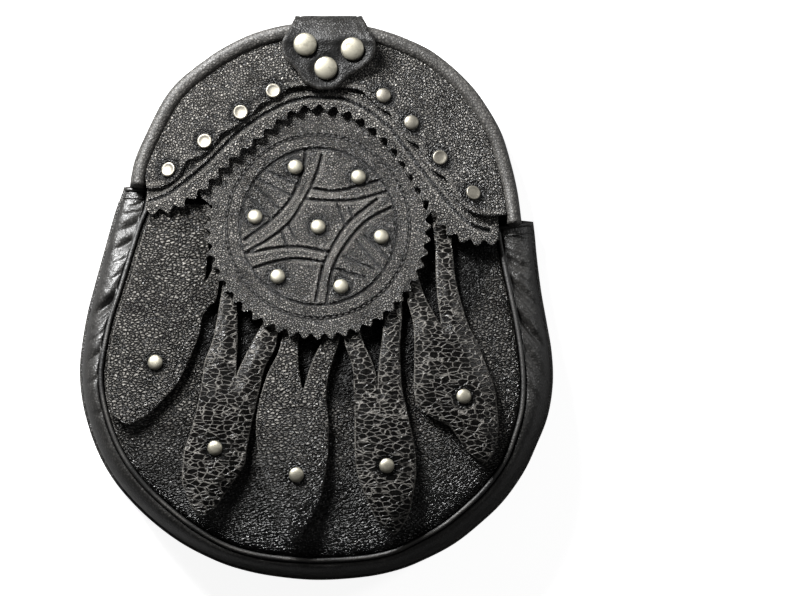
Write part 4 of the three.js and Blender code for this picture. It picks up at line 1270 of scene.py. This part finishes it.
def tab_profile():
    """The tab's outer face in side view, from its tip round the roll to the sewn end."""
    roll_path = offset_path(arch_path, -ROLL_WIDTH / 2)
    crest_x, crest_y = roll_path[roll_path[:, 1].argmax()]
    low = rest_height(crest_y) - CLEARANCE / 2
    high = float(cantle_top(crest_x, crest_y)) + ROLL_PROUD + CLEARANCE
    middle = (low + high) / 2
    inner_y, inner_z = ROLL_WIDTH / 2 + CLEARANCE, (high - low) / 2
    tip_y = min(measured(p)[1] for p in TAB_FRONT)
    over = CLEARANCE + TAB_WALL
    tip_z = float(cantle_top(tab_centre, tip_y)) + over
    bend_y = crest_y - TAB_FLAT
    bend_z = max(high, float(cantle_top(tab_centre, bend_y)) + CLEARANCE) + TAB_WALL
    end_y = crest_y - LOOP_LENGTH
    seat_z = float(back_under(tab_centre + TAB_WIDTH / 2, end_y)) - CLEARANCE - TAB_WALL
    straight = [(tip_y, tip_z), (crest_y - 3.0, bend_z)]
    points = [tuple(np.array(straight[0]) * (1 - t) + np.array(straight[1]) * t)
              for t in (0, 0.25, 0.5, 0.7, 0.85, 1)]
    for degrees in range(60, -81, -20):
        angle = math.radians(degrees)
        points.append((crest_y + (inner_y + TAB_WALL) * math.cos(angle),
                       middle + (inner_z + TAB_WALL) * math.sin(angle)))
    points += [(crest_y - run, STRAP_LOWEST) for run in (4, 8, 14, 22, 30, 38)]
    points += [(end_y + SEAT_LENGTH * 2, STRAP_LOWEST), (end_y + SEAT_LENGTH, seat_z),
               (end_y + SEAT_LENGTH / 2, seat_z), (end_y, seat_z)]
    return straight, curve_through(points, 300)


tab_straight, tab_path = tab_profile()


def tab_top(x, y):
    (low_y, low_z), (high_y, high_z) = tab_straight
    return low_z + (y - low_y) * (high_z - low_z) / (high_y - low_y) + 0 * x


def make_tab():
    whole = length_of(tab_path)
    stretch = math.dist(*tab_straight) / (tab_straight[1][0] - tab_straight[0][0])
    half = TAB_WIDTH / 2
    lobes = curve_through([measured(p) for p in TAB_FRONT], 90)
    neck = lobes[0][1]
    lobes = lobes[lobes[:, 1] < neck - 4]
    front = np.column_stack([lobes[:, 0], (lobes[:, 1] - tab_straight[0][0]) * stretch])
    start = (neck - tab_straight[0][0]) * stretch
    corner = STRAP_CORNER
    left, right = tab_centre - half, tab_centre + half
    strap = [(left, start + 2), (left, whole - corner),
             (left + corner * 0.3, whole - corner * 0.3), (left + corner, whole),
             (right - corner, whole), (right - corner * 0.3, whole - corner * 0.3),
             (right, whole - corner), (right, start + 2)]
    outline = np.vstack([front, strap])
    bm, verts, is_upper = doubled_sheet(outline, step=0.9, rims=TAB_RIMS)
    x, s = plan_of(verts)
    inside = distance_to(x, s, outline)
    bent = at_share(tab_path, s / whole)
    slope = at_share(np.gradient(tab_path, axis=0), s / whole)
    slope /= np.linalg.norm(slope, axis=1)[:, None]
    spots = [(place(row)[0], (place(row)[1] - tab_straight[0][0]) * stretch)
             for row in TAB_RIVETS]
    pressed = (rivet_dents(spots, TAB_RIVET_RADIUS, depth=0.5)(x, s, inside)
               + pressed_line(inside - 2.0, 0.4, 0.3)
               + swells(x, s, TAB_SWELLS))
    lift = np.where(is_upper, pressed - rounded_off(inside, TAB_ROUNDING), -TAB_WALL)
    for k, vert in enumerate(verts):
        vert.co = (x[k], bent[k, 0] - slope[k, 1] * lift[k], bent[k, 1] + slope[k, 0] * lift[k])
    write_masks(bm, verts, {
        "edge": edge_mask(inside, is_upper),
        # Painted shade in the rivet dents and the pressed border line
        "painted_shade": np.where(is_upper, np.clip(-pressed / 0.8, 0, 1), 0),
    })
    return finish_piece("hanger_tab_strap", bm, tab_leather, ["hanger_tab"])


# Rivets

# Profiles of the caps: out as a share of the radius, up as a share of the rise
DOME = [(1.0, -0.12), (1.0, 0.16), (0.96, 0.34), (0.86, 0.58), (0.7, 0.79), (0.5, 0.92),
        (0.25, 0.985), (0.0, 1.0)]
PRESSED_CAP = [(1.0, -0.12), (1.0, 0.3), (0.95, 0.46), (0.86, 0.54), (0.74, 0.5),
               (0.6, 0.4), (0.4, 0.34), (0.2, 0.33), (0.0, 0.33)]
LOW_DOME = [(1.0, -0.12), (1.0, 0.2), (0.97, 0.36), (0.88, 0.54), (0.72, 0.7),
            (0.5, 0.82), (0.25, 0.88), (0.0, 0.9)]
CAP_STEPS = 36

# Two of the cantle's caps are smooth, the others have a pressed middle
CANTLE_PROFILES = [PRESSED_CAP] * 4 + [LOW_DOME] * 2 + [PRESSED_CAP] * 2


def make_caps(caps, cad_caps, spots, radius, top, profiles, sink, finish):
    """A row of caps that lie square on the face under them."""
    rise = RIVET_RISE * math.sqrt(radius / RIVET_RADIUS)

    def at(x, y):
        return float(top(np.array([x]), np.array([y]))[0])

    for number, (spot, profile) in enumerate(zip(spots, profiles), 1):
        bm = bmesh.new()
        points = [bm.verts.new((out * radius, 0, up * rise)) for out, up in profile]
        for a, b in zip(points, points[1:]):
            bm.edges.new((a, b))
        bmesh.ops.spin(bm, geom=bm.verts[:] + bm.edges[:], cent=(0, 0, 0), axis=(0, 0, 1),
                       dvec=(0, 0, 0), angle=2 * math.pi, steps=CAP_STEPS, use_merge=True)
        bmesh.ops.remove_doubles(bm, verts=bm.verts[:], dist=MERGE_DISTANCE)
        bmesh.ops.holes_fill(bm, edges=[e for e in bm.edges if e.is_boundary], sides=0)
        x, y = spot
        slope = Vector(((at(x - radius, y) - at(x + radius, y)) / (2 * radius),
                        (at(x, y - radius) - at(x, y + radius)) / (2 * radius),
                        1)).normalized()
        turn = slope.to_track_quat("Z", "Y").to_matrix().to_4x4()
        seat = Matrix.Translation(Vector((x, y, at(x, y))) - slope * sink)
        bmesh.ops.transform(bm, matrix=seat @ turn, verts=bm.verts[:])
        finish_piece(f"{caps}_{number}", bm, finish, [f"{cad_caps}_{number}"])


# Stitches

STITCH_WIDTH = 0.5
AHEAD = 0.2


def stitch_row(name, path, top, pitch=2.3, length=1.7):
    """A row of waxed stitches, each one a short rounded bar in its hole."""
    count = max(2, round(length_of(path) / pitch))
    spots = curve_through(path, count)
    along = np.gradient(spots, axis=0)
    bm = bmesh.new()
    height = top(spots[:, 0], spots[:, 1])
    ahead = top(spots[:, 0] + along[:, 0] * AHEAD, spots[:, 1] + along[:, 1] * AHEAD)
    size = Matrix.Diagonal((length / 2, STITCH_WIDTH / 2, STITCH_WIDTH / 2, 1))
    for k, (x, y) in enumerate(spots):
        run = Vector((along[k][0], along[k][1], (ahead[k] - height[k]) / AHEAD)).normalized()
        turned = run.to_track_quat("X", "Z").to_matrix().to_4x4()
        bmesh.ops.create_uvsphere(
            bm, u_segments=8, v_segments=6, radius=1,
            matrix=Matrix.Translation((x, y, height[k])) @ turned @ size)
    return finish_piece(name, bm, thread)


# Assembly

make_back()
make_gusset()
make_hems()
make_piping()
make_roll()
make_front()
for number, rows in enumerate(TASSELS, 1):
    make_tassel(number, rows)
make_medallion()
make_trim()
make_cantle()
make_tab()

make_caps("tassel_cap", "tassel_rivet", [place(rows["rivet"]) for rows in TASSELS],
          RIVET_RADIUS, lambda x, y: tassel_top(x, y) + TASSEL_RISE,
          [DOME] * len(TASSELS), sink=0.2, finish=nickel)
make_caps("stud_cap", "medallion_stud", stud_spots(), RIVET_RADIUS, medallion_top,
          [DOME] * (STUD_COUNT + 1), sink=0.15, finish=nickel)
make_caps("cantle_cap", "cantle_rivet", [place(row) for row in CANTLE_RIVETS],
          RIVET_RADIUS, cantle_top, CANTLE_PROFILES, sink=0.2, finish=dull_nickel)
make_caps("tab_cap", "tab_rivet", [place(row) for row in TAB_RIVETS],
          TAB_RIVET_RADIUS, tab_top, [LOW_DOME] * len(TAB_RIVETS), sink=0.25, finish=nickel)

circle = curve_through(
    [medallion_centre + OUTER_CIRCLE * np.array((math.cos(a), math.sin(a)))
     for a in np.linspace(0, 2 * math.pi, 61)], 240)
stitch_row("medallion_stitches", circle, lambda x, y: medallion_top(x, y) - 0.3)
stitch_row("cantle_stitches", offset_path(arch_inner, -0.9)[20:-20],
           lambda x, y: cantle_top(x, y) - 0.05, pitch=3.0, length=2.2)


# Camera, light and floor

CAMERA_HEIGHT = 6.0
FRAME_WIDTH = PICTURE_WIDTH * PIXEL * MM
SENSOR = 36.0
FLOOR_HALF = 6
WORLD_STRENGTH = 0.07
FLOOR_AS_LIT = (0.18, 0.18, 0.18, 1)
FLOOR_AS_SEEN = (0.5, 0.5, 0.5, 1)
FLOOR_GLOW = 0.9

# Lights: name, place, what it points at, size, power
LIGHTS = [
    ("key", (-0.42, 0.70, 0.47), (-0.04, 0.05, 0), (0.28, 0.24), 30),
    ("rake", (-0.52, 0.70, 0.31), (-0.04, 0.05, 0), (0.3, 0.18), 5.5),
    ("side", (1.2, 0.6, 0.6), (0, 0, 0), (0.2, 0.9), 5),
]

camera_data = bpy.data.cameras.new("camera")
camera_data.sensor_width = SENSOR
camera_data.lens = SENSOR * CAMERA_HEIGHT / FRAME_WIDTH
camera_data.clip_end = 50
camera = bpy.data.objects.new("camera", camera_data)
centre = measured((PICTURE_WIDTH / 2, PICTURE_HEIGHT / 2))
camera.location = ((centre[0] + PLAN_ORIGIN[0]) * MM, (centre[1] + PLAN_ORIGIN[1]) * MM,
                   CAMERA_HEIGHT)
bpy.context.scene.collection.objects.link(camera)
bpy.context.scene.camera = camera


def area_light(name, spot, target, size, power):
    data = bpy.data.lights.new(name, "AREA")
    data.shape = "RECTANGLE"
    data.size, data.size_y = size
    data.energy = power
    lamp = bpy.data.objects.new(name, data)
    lamp.location = spot
    aim = Vector(target) - Vector(spot)
    lamp.rotation_euler = aim.to_track_quat("-Z", "Y").to_euler()
    bpy.context.scene.collection.objects.link(lamp)


for light in LIGHTS:
    area_light(*light)

bm = bmesh.new()
bmesh.ops.create_grid(bm, x_segments=1, y_segments=1, size=FLOOR_HALF)
floor_mesh = bpy.data.meshes.new("floor")
bm.to_mesh(floor_mesh)
bm.free()
floor = bpy.data.objects.new("floor", floor_mesh)
floor_material = bpy.data.materials.new("floor")
floor_material.use_nodes = True
floor_tree = floor_material.node_tree
floor_shader = floor_tree.nodes["Principled BSDF"].inputs
seen = node(floor_tree, "ShaderNodeLightPath").outputs["Is Camera Ray"]
floor_tree.links.new(mix_color(floor_tree, seen, FLOOR_AS_LIT, FLOOR_AS_SEEN),
                     floor_shader["Base Color"])
floor_tree.links.new(math_node(floor_tree, "MULTIPLY", seen, FLOOR_GLOW),
                     floor_shader["Emission Strength"])
floor_shader["Roughness"].default_value = 0.9
floor_shader["Specular IOR Level"].default_value = 0.0
floor_shader["Emission Color"].default_value = (1, 1, 1, 1)
floor_mesh.materials.append(floor_material)
bpy.context.scene.collection.objects.link(floor)

world = bpy.data.worlds.new("studio")
world.use_nodes = True
background = world.node_tree.nodes["Background"].inputs
background["Color"].default_value = (1, 1, 1, 1)
background["Strength"].default_value = WORLD_STRENGTH
bpy.context.scene.world = world
bpy.context.scene.view_settings.view_transform = "Standard"
